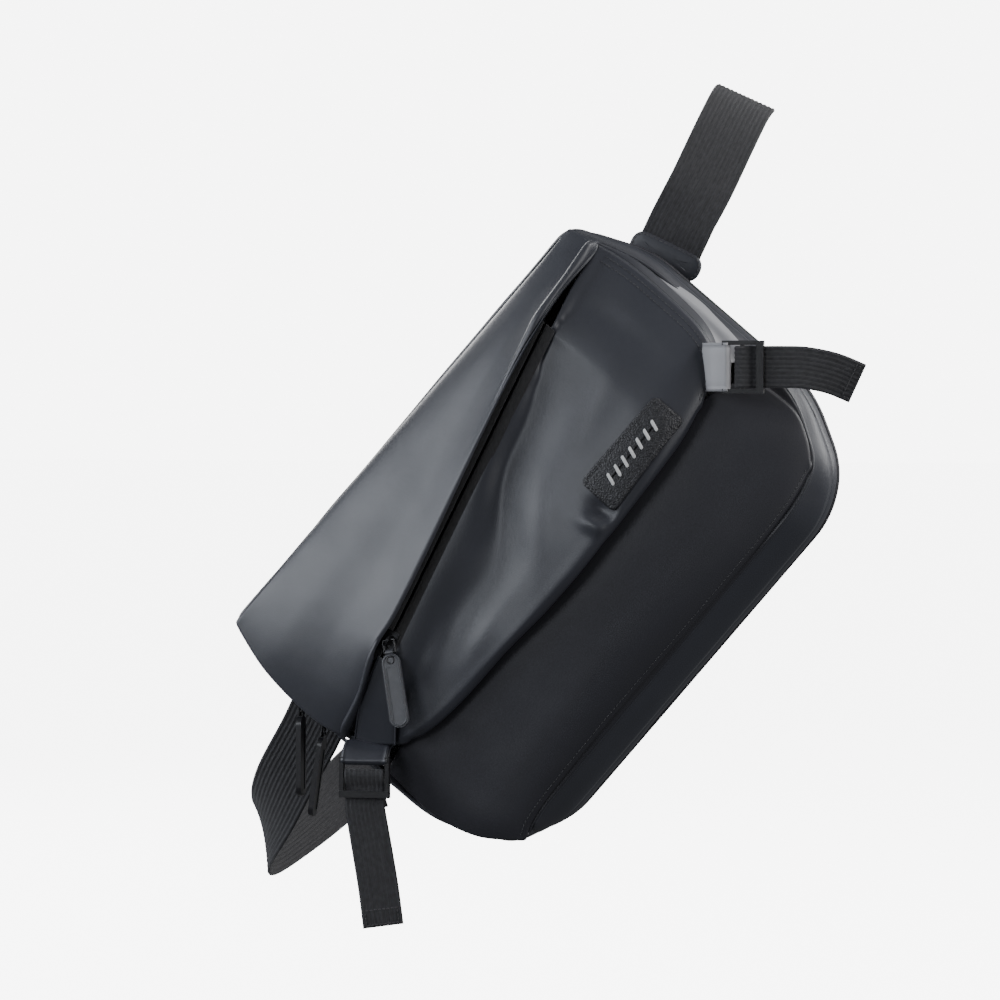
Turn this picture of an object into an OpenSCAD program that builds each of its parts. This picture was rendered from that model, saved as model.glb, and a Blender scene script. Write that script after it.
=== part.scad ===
// Sling bag, shown as it is worn: the shoulder strap rests on a shoulder at the origin and the bag
// hangs diagonally across the back. +X is to the right of someone looking at the back, +Y points
// away from that person, +Z is up. Inside, most pieces are drawn in the bag's own frame, where
// u runs along the bag, v runs up across it and w is the distance out from the wearer's back.

/* [Bag] */
// Length of the bag from end to end
bag_len = 350; // [346:1:354]
// Height of the bag across its length
bag_height = 232; // [230:1:234]
// Lean of the bag's length above the horizontal
bag_lean = 49.4; // [46:0.2:52]
// Thickness of the padded back
pad_t = 9; // [8:0.5:10]
// Thickness of the coated outer fabric with its foam
wall_t = 1.8; // [1.4:0.1:2]
// Thickness of the moulded front panels
panel_t = 2.2; // [1.8:0.1:2.4]
// Height of the zip line above the wearer's back
zip_w = 38; // [36:0.5:40]

/* [Straps] */
// Width of the shoulder strap
strap_width = 40; // [38:0.5:41]
// Thickness of the shoulder strap
strap_t = 2.2; // [1.8:0.1:2.4]
// Width of the side straps
web_width = 25; // [24:0.5:25.5]
// Thickness of the side straps
web_t = 1.5; // [1.2:0.1:1.6]
// Length of the hanging tail of the left side strap
left_tail_len = 78; // [60:1:90]

/* [Zips] */
// Length of a main zip pull's tab
main_tab_len = 54; // [40:1:58]
// Length of the slanted zip pull's tab
front_tab_len = 49; // [40:1:50]
// Width of a zip pull's tab
tab_w = 12; // [10:0.5:12.5]
// Width of the slit that a zip slider's neck runs in
slit = 1.4; // [1.3:0.1:1.8]

/* [Hidden] */
$fn = 48;

half_len = bag_len / 2;
half_height = bag_height / 2;
origin_to_bag = [-103, -64, -281];  // from the shoulder to the middle of the bag's back face
gap = 0.5;                          // room left between sewn neighbours
rear_gusset_w = zip_w - 8;          // where the rear gusset ends and the zip tape starts
front_gusset_w = zip_w + 8;         // where the front zip tape ends
tape_t = 0.8;
coil_r = 0.9;
tape_inset = 0.5;                   // the tape lies a little inside the gusset's outer face
pivot_rise = 5;                     // from a tape's outer face up to the axis of the pull
buckle_len = 25;
buckle_rail = 2.6;
buckle_width = web_width + 2 * buckle_rail + 1.2;
strap_buckle_len = 34;
anchor_w = 4;                       // height of the strap's sewn ends above the wearer's back

// ---- vectors, curves and sheets ----
function unit(a) = a / norm(a);
function mix(a, b, t) = (1 - t) * a + t * b;
function clamp_at(p, i) = p[max(0, min(len(p) - 1, i))];
function last(p) = p[len(p) - 1];
function catmull(a, b, c, d, t) =
    0.5 * (2 * b + (c - a) * t + (2 * a - 5 * b + 4 * c - d) * t * t + (3 * b - a - 3 * c + d) * t * t * t);
// The point at share s of a smooth curve through the points p
function curve(p, s) =
    let (n = len(p) - 1, x = min(n - 0.000001, max(0, s * n)), i = floor(x))
    catmull(clamp_at(p, i - 1), p[i], p[i + 1], clamp_at(p, i + 2), x - i);
// A closed loop with each corner c[i] rounded over the length a[i] of its two sides
function round_loop(c, a, steps = 5) = [
    for (i = [0 : len(c) - 1])
        let (before = c[(i + len(c) - 1) % len(c)], after = c[(i + 1) % len(c)],
             from = c[i] + a[i] * unit(before - c[i]), to = c[i] + a[i] * unit(after - c[i]))
        for (j = [0 : steps]) let (t = j / steps)
            (1 - t) * (1 - t) * from + 2 * t * (1 - t) * c[i] + t * t * to
];
// A smooth sheet between four edge curves: low and high run left to right, left and right run low to high
function patch(low, high, left, right, s, t) =
    mix(curve(low, s), curve(high, s), t) + mix(curve(left, t), curve(right, t), s)
    - mix(mix(low[0], last(low), s), mix(high[0], last(high), s), t);
function dome(x) = 1 - pow(abs(2 * x - 1), 2.6);
// Bag frame to drawing axes
function xyz(p) = [p[0], -p[2], p[1]];
// Bag frame to the model's frame
function placed(p) =
    origin_to_bag + [p[0] * cos(bag_lean) - p[1] * sin(bag_lean), -p[2],
                     p[0] * sin(bag_lean) + p[1] * cos(bag_lean)];

// A solid through rings of points. Points j and last - j of a ring face each other across the sheet.
module skin(rings, closed = false, flip = false) {
    n = len(rings[0]);
    m = len(rings);
    half = n / 2;
    walls = [
        for (i = [0 : m - (closed ? 1 : 2)]) for (j = [0 : n - 1])
            let (a = i * n + j, b = i * n + (j + 1) % n,
                 c = ((i + 1) % m) * n + (j + 1) % n, d = ((i + 1) % m) * n + j)
            each [[a, b, c], [a, c, d]]
    ];
    caps = closed ? [] : [
        for (j = [0 : half - 2]) let (e = (m - 1) * n)
            each [[j, n - 1 - j, n - 2 - j], [j, n - 2 - j, j + 1],
                  [e + j, e + j + 1, e + n - 2 - j], [e + j, e + n - 2 - j, e + n - 1 - j]]
    ];
    faces = concat(walls, caps);
    polyhedron([for (r = rings) each r], flip ? faces : [for (f = faces) [f[2], f[1], f[0]]]);
}

// A bag panel: a sheet of even thickness whose outer face is the function outer(s, t)
module panel(outer, across = 22, up = 8) {
    skin([
        for (i = [0 : across]) let (s = i / across)
            concat([for (j = [0 : up]) xyz(outer(s, j / up))],
                   [for (j = [up : -1 : 0]) xyz(outer(s, j / up) - [0, 0, panel_t])])
    ]);
}

// A narrow sheet between two curves that run the same way. Its thickness is one direction or a curve.
module band(one, two, thick, steps = 24) {
    skin([
        for (i = [0 : steps])
            let (s = i / steps, a = curve(one, s), b = curve(two, s),
                 in = is_list(thick[0]) ? curve(thick, s) : thick)
            [xyz(a), xyz(b), xyz(b + in), xyz(a + in)]
    ]);
}

// A flat strap along a path. sides holds the direction of the strap's width at each point.
module ribbon(path, sides, width, thick, steps) {
    skin([
        for (i = [0 : steps])
            let (s = i / steps, p = curve(path, s),
                 ahead = unit(curve(path, min(1, s + 0.01)) - curve(path, max(0, s - 0.01))),
                 raw = unit(curve(sides, s)), side = unit(raw - (raw * ahead) * ahead),
                 up = cross(side, ahead), a = side * width / 2, b = up * thick)
            [p - a, p + a, p + a + b, p - a + b]
    ]);
}

// ---- the bag's outline and edge curves, as [u, v] or [u, v, w] ----
outline = [
    [157, half_height], [half_len, 74], [half_len, -56], [150, -101], [122, 1 - half_height],
    [-122, 1 - half_height], [-150, -101], [-half_len, -56], [-half_len, 74], [-166, half_height + 3]
];
outline_round = [9, 14, 20, 16, 14, 14, 16, 20, 14, 7];
rim = [
    [155, 116, 51], [171, 66, 56], [170, -54, 57], [147, -93, 64], [118, -100, 68],
    [-122, -102, 68], [-143, -107, 65], [-170, -56, 58], [-173, 60, 59], [-165, 118, 51]
];
rim_round = [9, 20, 18, 12, 12, 12, 12, 18, 20, 7];

top_edge = [[-165, 118.5, 54], [-80, 118.5, 55], [0, 118, 55], [80, 117, 55], [155, 116, 54]];
seam_from = [-100.6, 32.5, 88];     // the straight run of the slanted zip
seam_to = [95.8, 82, 84];
seam_run = [for (t = [-0.08, 0, 0.25, 0.5, 0.75, 1, 1.06]) mix(seam_from, seam_to, t)];
seam = concat([[-167, 16, 68], [-138, 20, 81]], seam_run, [[136, 88.5, 74], [161, 93, 64]]);
left_top = [[-167, 16, 68], [-172, 28, 67], [-175, 50, 64], [-173, 86, 60], [-165, 118.5, 54]];
right_top = [[161, 93, 64], [159, 106, 58], [155, 116, 54]];
lip = [
    [-148, -9, 76], [-118, -19, 86], [-64, -24, 94], [-14, -27, 99], [22, -28, 100],
    [75, -26, 97], [109, -23, 90], [133, -18, 84]
];
left_mid = [[-148, -9, 76], [-160, 3, 71], [-167, 16, 68]];
right_mid = [
    [133, -18, 84], [154, -8, 78.5], [164, 11, 75.5], [165.5, 45, 71], [164.5, 72, 67], [161, 93, 64]
];
lower_top = [
    [-168, -14, 61], [-140, -10, 68], [-100, -12, 74], [-60, -12, 80], [0, -14, 84],
    [60, -14, 83], [110, -14, 76], [140, -18, 70], [161, -28, 63]
];
crease = [
    [-142, -106, 69], [-122, -101, 72], [-60, -99, 74], [0, -99, 75],
    [70, -99, 74], [118, -97, 71], [145, -91, 68]
];
left_low = [[-142, -106, 69], [-160, -83, 66], [-169, -53, 62], [-168, -14, 61]];
right_low = [[145, -91, 68], [155, -79, 66], [163, -60, 64], [161, -28, 63]];
mid_bulge = 4;
top_bulge = 5;
low_bulge = 6;
// The pocket's wall follows the free edge of the middle panel, just behind it
free_edge = concat([left_mid[1]], lip, [for (i = [1 : 5]) right_mid[i]]);
pocket_edge = concat([[-166, 15, 64.5]], [for (p = free_edge) p - [0, 0, 3]]);
pocket_foot = [
    [-168, 14, 61.5], [-161, 2, 64], [-149, -7, 69.5], [-118, -15, 76], [-64, -18, 82.5],
    [-14, -21, 87.5], [22, -22, 88.5], [75, -21, 85.5], [109, -18, 79.5], [133, -15, 75],
    [156.5, -7, 68], [167.5, 11, 63], [170, 45, 60], [169, 72, 59], [163, 92, 58]
];

// ---- the strap's route round the wearer, from the bag's upper end to its lower end ----
upper_anchor = placed([178, 68, anchor_w]);
lower_anchor = placed([-178, 52, anchor_w]);
strap_dir = unit([0.435, 0, 0.9]);
strap_skin = [0, strap_t / 2, 0];
strap_route = [
    upper_anchor + strap_dir * 3.5 + strap_skin, upper_anchor + strap_dir * 23 + strap_skin,
    [-17, -62, -57], [-6, -45, -27], [0, -22, -6], [0, 0, 0], [-7, 26, -2], [-18, 56, -11],
    [-34, 86, -30], [-54, 116, -60], [-80, 141, -104], [-108, 158, -164], [-138, 168, -226],
    [-172, 172, -290]
];
strap_sides = [
    [0.9, 0, -0.435], [0.9, 0, -0.435], [0.905, 0.1, -0.42], [0.9, 0.12, -0.43], [0.9, 0.08, -0.44],
    [0.9, 0.05, -0.42], [0.92, 0.1, -0.36], [0.93, 0.2, -0.26], [0.9, 0.3, -0.22], [0.87, 0.3, -0.3],
    [0.86, 0.18, -0.42], [0.86, 0.08, -0.48], [0.87, 0.02, -0.48], [0.883, 0, -0.469]
];
strap_front_dir = unit(last(strap_route) - strap_route[len(strap_route) - 2]);
// The buckle at the strap's lower front end: x along the strap, y towards the wearer, z across
strap_across = unit(cross([0, 1, 0], strap_front_dir));
strap_inward = cross(strap_across, strap_front_dir);
strap_buckle_at = last(strap_route) + strap_front_dir * 5.5 - strap_inward * strap_t / 2;
function from_buckle(x, y) = strap_buckle_at + strap_front_dir * x + strap_inward * y;
lower_route = [
    from_buckle(21, 5.4), from_buckle(28, 5.5), from_buckle(37, 6), [-219, 165, -364], [-252, 151, -406],
    [-286, 118, -446], [-308, 70, -474], [-315, 18, -484], [-308, -28, -470], [-289, -58, -437],
    lower_anchor - strap_dir * 23 + strap_skin, lower_anchor - strap_dir * 3.5 + strap_skin
];
lower_sides = [
    -strap_across, -strap_across, -strap_across, [0.8, -0.05, -0.6], [0.7, -0.1, -0.7], [0.45, -0.1, -0.9],
    [0.12, -0.05, -1], [0, 0, -1], [0.25, 0, -0.95], [0.7, 0, -0.6], [0.9, 0, -0.435], [0.9, 0, -0.435]
];

// ---- placing ----
module in_bag() translate(origin_to_bag) rotate([0, -bag_lean, 0]) children();
// Lays z along w, so that outlines are drawn in u and v and raised from the wearer's back
module raised(w) translate([0, -w, 0]) rotate([90, 0, 0]) children();
function shrunk(loop, by) = [for (p = loop) [p[0] * (1 - by / half_len), p[1] * (1 - by / half_height)]];
module outline_area(inset = 0) polygon(shrunk(round_loop(outline, outline_round), inset));
module wall_ring(low, high, thick, inset = 0)
    raised(low) linear_extrude(high - low) difference() {
        outline_area(inset);
        outline_area(inset + thick);
    }
// The zip runs round the bag above this height; below it the wall is sewn and bends as the hinge
zip_end_v = -72;
module without_bottom() intersection() {
    children();
    translate([-300, -200, zip_end_v]) cube([600, 400, 300]);
}
module only_bottom() intersection() {
    children();
    translate([-300, -200, zip_end_v - gap - 300]) cube([600, 400, 300]);
}

// ---- back of the bag ----
module back_panel() color("#26262b") in_bag() raised(0) linear_extrude(pad_t - gap) outline_area(3);
module rear_piping() color("#151518") in_bag() wall_ring(pad_t - 5, pad_t - gap, 2.2, 0.4);
module back_board() color("#3a3a40") in_bag() raised(pad_t) linear_extrude(1.5) outline_area(wall_t + 1);
module rear_gusset() color("#2b2c31") in_bag() {
    wall_ring(pad_t, rear_gusset_w, wall_t);
    only_bottom() wall_ring(rear_gusset_w, zip_w - 0.4, wall_t);
}
module inner_pocket() color("#44444a") in_bag() raised(pad_t + 2) difference() {
    linear_extrude(7) square([220, 120], center = true);
    translate([0, 4, -1]) linear_extrude(7) square([216, 120], center = true);
}
module zip_tape(low, high) in_bag() without_bottom() wall_ring(low, high, tape_t, tape_inset);
module zip_coil(low) in_bag() without_bottom()
    wall_ring(low, low + 2 * coil_r, 1.6, tape_inset + tape_t + 0.05);
module main_zip_rear() color("#1a1a1d") zip_tape(rear_gusset_w + gap, zip_w - slit / 2);
module main_zip_front() color("#1a1a1d") zip_tape(zip_w + slit / 2, front_gusset_w - gap);
module main_coil_rear() color("#0e0e10") zip_coil(zip_w - slit / 2 - 2 * coil_r);
module main_coil_front() color("#0e0e10") zip_coil(zip_w + slit / 2);

// ---- front of the bag ----
module front_gusset() {
    base = [for (p = round_loop(outline, outline_round)) [p[0], p[1], front_gusset_w]];
    top = round_loop(rim, rim_round);
    in_step = 1 - wall_t / half_height;
    color("#34353b") in_bag() skin([
        for (i = [0 : len(base) - 1]) let (b = base[i], t = top[i])
            [xyz(b), xyz(t), xyz([t[0] * in_step, t[1] * in_step, t[2]]),
             xyz([b[0] * in_step, b[1] * in_step, b[2]])]
    ], closed = true);
}
module bottom_strip() color("#2e2f35") in_bag() only_bottom()
    wall_ring(zip_w + 0.4, front_gusset_w - 0.2, wall_t);
module front_lining() color("#303036") in_bag() raised(front_gusset_w + 1)
    linear_extrude(1) outline_area(wall_t + 8);
// The top panel's lower edge stands proud of the slanted zip and hides it, as a flap
flap = [for (i = [0 : len(seam) - 1]) let (end = i == 0 || i == len(seam) - 1)
    seam[i] + [0, i == 0 ? 1.5 : 4, end ? 0 : 9]];
flap_left = concat([flap[0]], [for (i = [1 : 4]) left_top[i]]);
flap_right = concat([last(flap)], [for (i = [1 : 2]) right_top[i]]);
top_face = function(s, t)
    patch(flap, top_edge, flap_left, flap_right, s, t) + [0, 0, top_bulge * dome(s) * dome(t)];
module top_panel() color("#6b6d75") in_bag() panel(top_face);
// The middle panel starts a little below the slanted zip, in the valley that the flap overhangs
zip_side = [for (i = [0 : len(seam) - 1]) let (end = i == 0 || i == len(seam) - 1)
    seam[i] + (end ? [0, -2, 0] : [1, -8, -1])];
mid_left = [left_mid[0], left_mid[1], zip_side[0]];
mid_right = concat([for (i = [0 : 4]) right_mid[i]], [last(zip_side)]);
// The middle panel is fullest a third of the way up from its free edge
function fullness(t) = t < 0.3 ? 1 - pow(1 - t / 0.3, 2) : pow(cos(90 * (t - 0.3) / 0.7), 2);
middle_face = function(s, t)
    patch(lip, zip_side, mid_left, mid_right, s, t)
    + [0, 0, mid_bulge * dome(pow(s, 1.8)) * fullness(t)];
module middle_panel() color("#4a4c54") in_bag() panel(middle_face, 26, 9);
low_face = function(s, t)
    patch(crease, lower_top, left_low, right_low, s, t) + [0, 0, low_bulge * dome(s) * dome(t)];
module lower_panel() color("#222227") in_bag() panel(low_face);
// Everywhere the pocket's wall has its thickness on the side of the pocket's middle
pocket_inward = [for (p = pocket_foot) wall_t * unit([-p[0], 45 - p[1], 0])];
module pocket_gusset() color("#3e4047") in_bag() band(pocket_edge, pocket_foot, pocket_inward, 40);
module front_tape(side) {
    inner = [for (p = seam_run) p + [0, side * slit / 2, 0]];
    outer = [for (p = seam_run) p + [0, side * 7, 0]];
    color("#1a1a1d") in_bag() band(inner, outer, [0, 0, -tape_t], 30);
}
module front_zip_upper() front_tape(1);
module front_zip_lower() front_tape(-1);
// The label lies on the middle panel, beside the lip, and follows its curve
label_low = [[51, -23.5], [119, -18.5]];
label_high = [[51, 4], [119, 4]];
// The shares s and t at which the middle panel passes over a place [u, v], found by small corrections
function share_at(place, st = [0.7, 0.2], rounds = 14) =
    rounds == 0 ? st :
    let (p = middle_face(st[0], st[1]))
    share_at(place, st + [(place[0] - p[0]) / 290, (place[1] - p[1]) / 110], rounds - 1);
module label_patch() {
    step = 0.01;
    columns = 8;
    rows = 4;
    function raised_face(i, j, by) =
        let (low = mix(label_low[0], label_low[1], i / columns),
             high = mix(label_high[0], label_high[1], i / columns),
             st = share_at(mix(low, high, j / rows)), s = st[0], t = st[1],
             along = middle_face(s + step, t) - middle_face(s - step, t),
             up = middle_face(s, t + step) - middle_face(s, t - step))
        xyz(middle_face(s, t) + by * unit(cross(along, up)));
    color("#1d1d21") in_bag() skin([
        for (i = [0 : columns])
            concat([for (j = [0 : rows]) raised_face(i, j, 1.9)],
                   [for (j = [rows : -1 : 0]) raised_face(i, j, 0.5)])
    ]);
}

// ---- side straps: in each one's axes x runs out along the strap, y towards the wearer, z across it ----
left_bar = placed([-169, -2.2, 80]);
right_bar = placed([159.2, -16.6, 87.5]);
module at_left() translate(left_bar) rotate([0, 90, 0]) children();
module at_right() translate(right_bar) children();
bar_r = 1.5;
function mid_bar(len) = len * 0.4;
function buckle_end(len) = len - 2;
// The buckle turns on the bar at x = 0, which its tab is sewn round
module ladder_buckle(len, width) {
    rail = buckle_rail;
    thick = 4.4;
    for (side = [-1, 1])
        translate([-bar_r - 0.5, -thick / 2, side * (width - rail) / 2 - rail / 2])
            cube([buckle_end(len) + bar_r + 0.5, thick, rail]);
    for (x = [0, mid_bar(len)])
        translate([x, 0, 0]) cylinder(r = bar_r, h = width - 2 * rail + 0.2, center = true);
    translate([buckle_end(len) - 4.2, -thick / 2 - 0.6, -width / 2]) cube([4.2, 2.2, width]);
}
// The loop that holds a buckle's first bar, with a doubled tongue of this length behind it
module bar_loop(width, thick, tongue) {
    inner = bar_r + 0.35;
    outer = inner + thick;
    difference() {
        union() {
            cylinder(r = outer, h = width, center = true);
            translate([-tongue, -outer, -width / 2]) cube([tongue, 2 * outer, width]);
        }
        cylinder(r = inner, h = width + 2, center = true);
        translate([-tongue / 2, -inner, -width]) cube([tongue / 2, 2 * inner, 2 * width]);
    }
}
// The strap round a buckle's second bar: it comes up behind, turns over and leaves under the end bar
module threading(len, width, thick) {
    r = bar_r + 0.15 + thick;
    x = mid_bar(len);
    route = [
        [x + 1.5, r, 0], [x, r, 0], [x - 0.7 * r, 0.7 * r, 0], [x - r, 0, 0],
        [x - 0.7 * r, -0.7 * r, 0], [x, -r, 0], [x + 0.75 * r, -0.75 * r, 0],
        [buckle_end(len) - 6, -0.25, 0], [buckle_end(len), -0.25, 0]
    ];
    ribbon(route, [for (p = route) [0, 0, 1]], width, thick, 32);
}
// The strap from the bag to the buckle, which passes behind the buckle
module side_web(drop) {
    x = mid_bar(buckle_len) + 4.5;
    route = [[x, 2.2, 0], [x + 5, 2.4, 0], [x + 10, 3.5, 0], [x + 15, 2.4 + drop, 0]];
    ribbon(route, [for (p = route) [0, 0, 1]], web_width, web_t, 10);
}
module side_buckle() ladder_buckle(buckle_len, buckle_width);
module side_threading() threading(buckle_len, web_width, web_t);
side_tail_x = buckle_end(buckle_len) + gap;
module tab_left() color("#55565c") at_left() bar_loop(web_width + 0.6, wall_t, 9);
module tab_right() color("#8e8f95") at_right() bar_loop(web_width + 0.6, wall_t, 13);
module buckle_left() color("#17171a") at_left() side_buckle();
module buckle_right() color("#17171a") at_right() side_buckle();
module threading_left() color("#202024") at_left() side_threading();
module threading_right() color("#202024") at_right() side_threading();
module side_web_left() color("#202024") at_left() side_web(6);
module side_web_right() color("#202024") at_right() side_web(8);
module tail_left() color("#2b2b30") at_left() translate([side_tail_x, -0.25, 0])
    ribbon([[0, 0, 0], [5, 0, 0], [15, 0.5, 1.5], [30, 0.6, 4.2], [54, 0, 8.5], [left_tail_len, -1, 12]],
           [for (i = [0 : 5]) [0, 0.035 * i, 1]], web_width, web_t, 16);
module tail_right() color("#2b2b30") at_right() translate([side_tail_x, -0.25, 0])
    ribbon([[0, 0, 0], [10, 0.3, 0], [24, 1.5, -0.5], [40, 5, -4], [54, 10, -10]],
           [[0, 0, 1], [0, 0, 1], [0, 0, 1], [0.15, -0.1, 1], [0.3, -0.15, 1]], web_width, web_t, 16);

// ---- zip sliders: x along the zip, y across it, z out of the bag; the pull's axis is at the origin ----
module slider() {
    arch_w = 1.6;
    translate([0, 0, -pivot_rise]) {
        difference() {
            union() {
                translate([-6, -4.4, 0.3]) cube([12, 8.8, 1.2]);
                translate([0, 0, pivot_rise]) rotate([90, 0, 0])
                    cylinder(r = 3.1, h = arch_w, center = true);
                translate([-3.1, -arch_w / 2, 0.3]) cube([6.2, arch_w, pivot_rise - 0.3]);
            }
            translate([0, 0, pivot_rise]) rotate([90, 0, 0]) cylinder(r = 1.7, h = 20, center = true);
            translate([-10, -10, -10]) cube([20, 20, 10.3]);
        }
        translate([-2.5, -0.4, -4]) cube([5, 0.8, 4.6]);
        translate([-6, -4.4, -4.8]) cube([12, 8.8, 1]);
    }
}
// The pull hangs along -z and turns about x
link_len = 7.5;
module link() {
    for (x = [-3.4, 3.4]) {
        translate([x, 0, -link_len]) cylinder(r = 0.75, h = link_len);
        for (z = [0, -link_len]) translate([x, 0, z]) sphere(r = 0.75);
    }
    for (z = [0, -link_len]) translate([-3.4, 0, z]) rotate([0, 90, 0]) cylinder(r = 0.75, h = 6.8);
}
module pull_tab(tab_len, thick) {
    reach = link_len + 3;
    difference() {
        union() {
            rotate([90, 0, 0]) linear_extrude(thick, center = true) {
                hull() {
                    translate([0, -reach - tab_w * 0.3]) circle(d = tab_w * 0.96);
                    translate([0, -reach - tab_len + tab_w]) circle(d = tab_w);
                }
                translate([-2.3, -reach - 2]) square([4.6, 5]);
            }
            translate([0, 0, -link_len]) rotate([0, 90, 0]) cylinder(r = 1.9, h = 4.6, center = true);
        }
        translate([0, 0, -link_len]) rotate([0, 90, 0]) cylinder(r = 1.05, h = 20, center = true);
        translate([-3.5, -thick / 2 - 0.1, -reach - tab_len + tab_w - 2]) cube([7, 0.5, tab_len - tab_w - 4]);
    }
}
slider_a_v = 58;
slider_b_v = 38;
// Main zip: the slider's x is the bag's v, its z points out of the bag's lower end
module on_left_end(v) in_bag()
    translate([-half_len + tape_inset - pivot_rise, -zip_w, v]) rotate([0, -90, 0]) children();
function left_end_pivot(v) = placed([-half_len + tape_inset - pivot_rise, v, zip_w]);
pull_b_lean = 8;
module hang_a() translate(left_end_pivot(slider_a_v)) rotate([0, 0, 90]) children();
module hang_b()
    translate(left_end_pivot(slider_b_v)) rotate([0, pull_b_lean, 0]) rotate([0, 0, 90]) children();
module main_slider_a() color("#0c0c0e") on_left_end(slider_a_v) slider();
module main_slider_b() color("#0c0c0e") on_left_end(slider_b_v) slider();
module main_link_a() color("#0c0c0e") hang_a() link();
module main_link_b() color("#0c0c0e") hang_b() link();
module main_pull_a() color("#1b1b1f") hang_a() pull_tab(main_tab_len, 3.2);
module main_pull_b() color("#26262c") hang_b() pull_tab(main_tab_len, 3.2);
// Slanted zip
seam_dir = unit(seam_to - seam_from);
seam_angle = atan2(seam_dir[1], seam_dir[0]);
seam_sink = -asin(seam_dir[2]);
front_pivot = placed(seam_from + [0, 0, pivot_rise]);
module front_slider() color("#0c0c0e") translate(front_pivot)
    rotate([0, -bag_lean - seam_angle, 0]) rotate([0, 0, seam_sink]) rotate([90, 0, 0]) slider();
front_pull_lean = 10;
front_pull_lift = 5;                // the pull lies on the full part of the panel, a little off plumb
module hang_front()
    translate(front_pivot) rotate([0, -front_pull_lean, 0]) rotate([-front_pull_lift, 0, 0]) children();
module front_link() color("#0c0c0e") hang_front() link();
module front_pull() color("#3d3f46") hang_front() pull_tab(front_tab_len, 2.2);

// ---- shoulder strap ----
module strap_webbing() color("#25252a") ribbon(strap_route, strap_sides, strap_width, strap_t, 60);
module strap_lower_webbing() color("#25252a")
    ribbon(lower_route, lower_sides, strap_width, strap_t, 40);
// A sewn tab: x along the strap away from the bag, y towards the wearer, z across it
module anchor_tab() {
    width = strap_width + 8;
    rotate([90, 0, 0]) linear_extrude(4.4, center = true) hull() {
        translate([-14, -width / 2]) square([4, width]);
        for (z = [-1, 1]) translate([1, z * (width / 2 - 8)]) circle(r = 8);
    }
}
module anchor_slot() translate([-20, -strap_t / 2 - 0.8, -strap_width / 2 - 0.5])
    cube([60, strap_t + 1.6, strap_width + 1]);
anchor_lean = atan2(strap_dir[2], strap_dir[0]);
module strap_anchor_upper() color("#2d2d33") difference() {
    translate(upper_anchor) rotate([0, -anchor_lean, 0]) anchor_tab();
    translate(upper_anchor) rotate([0, -anchor_lean, 0]) anchor_slot();
    in_bag() raised(-20) linear_extrude(60) outline_area(-0.3);
}
module strap_anchor_lower() color("#2d2d33") difference() {
    translate(lower_anchor) rotate([0, 180 - anchor_lean, 0]) anchor_tab();
    translate(lower_anchor) rotate([0, 180 - anchor_lean, 0]) anchor_slot();
    in_bag() raised(-20) linear_extrude(60) outline_area(-0.3);
}
module at_strap_buckle() multmatrix([
    for (i = [0 : 2]) [strap_front_dir[i], strap_inward[i], strap_across[i], strap_buckle_at[i]]
]) children();
module strap_loop() color("#25252a") at_strap_buckle() bar_loop(strap_width, strap_t, 4.6);
module strap_buckle() color("#17171a") at_strap_buckle()
    ladder_buckle(strap_buckle_len, strap_width + 2 * buckle_rail + 1.2);
module strap_threading() color("#25252a") at_strap_buckle()
    threading(strap_buckle_len, strap_width, strap_t);
module strap_tail() color("#25252a") {
    x = buckle_end(strap_buckle_len) + gap;
    fall = [[0, 0], [9, 0], [42, -1.5], [86, -0.5], [126, 2.5]];
    ribbon([for (p = fall) from_buckle(x + p[0], p[1] - 0.25)],
           [for (p = fall) strap_across], strap_width, strap_t, 20);
}

back_panel();
back_board();
rear_gusset();
rear_piping();
main_zip_rear();
main_coil_rear();
inner_pocket();
strap_anchor_upper();
strap_anchor_lower();
strap_webbing();
strap_lower_webbing();
front_gusset();
bottom_strip();
front_lining();
top_panel();
middle_panel();
lower_panel();
pocket_gusset();
main_zip_front();
main_coil_front();
front_zip_upper();
front_zip_lower();
label_patch();
tab_left();
tab_right();
side_web_left();
side_web_right();
buckle_left();
buckle_right();
threading_left();
threading_right();
tail_left();
tail_right();
main_slider_a();
main_slider_b();
front_slider();
main_link_a();
main_link_b();
front_link();
main_pull_a();
main_pull_b();
front_pull();
strap_loop();
strap_buckle();
strap_threading();
strap_tail();
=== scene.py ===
"""A smooth coated sling bag as it is worn, hung diagonally across a wearer's back by its strap.

Lengths are in millimetres until a point is placed. The bag has its own directions, the same as in
the CAD part: u runs along it, v up across it and w out from the wearer's back.
"""

import math

import bmesh
import bpy
from mathutils import Matrix, Vector, kdtree, noise


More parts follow.
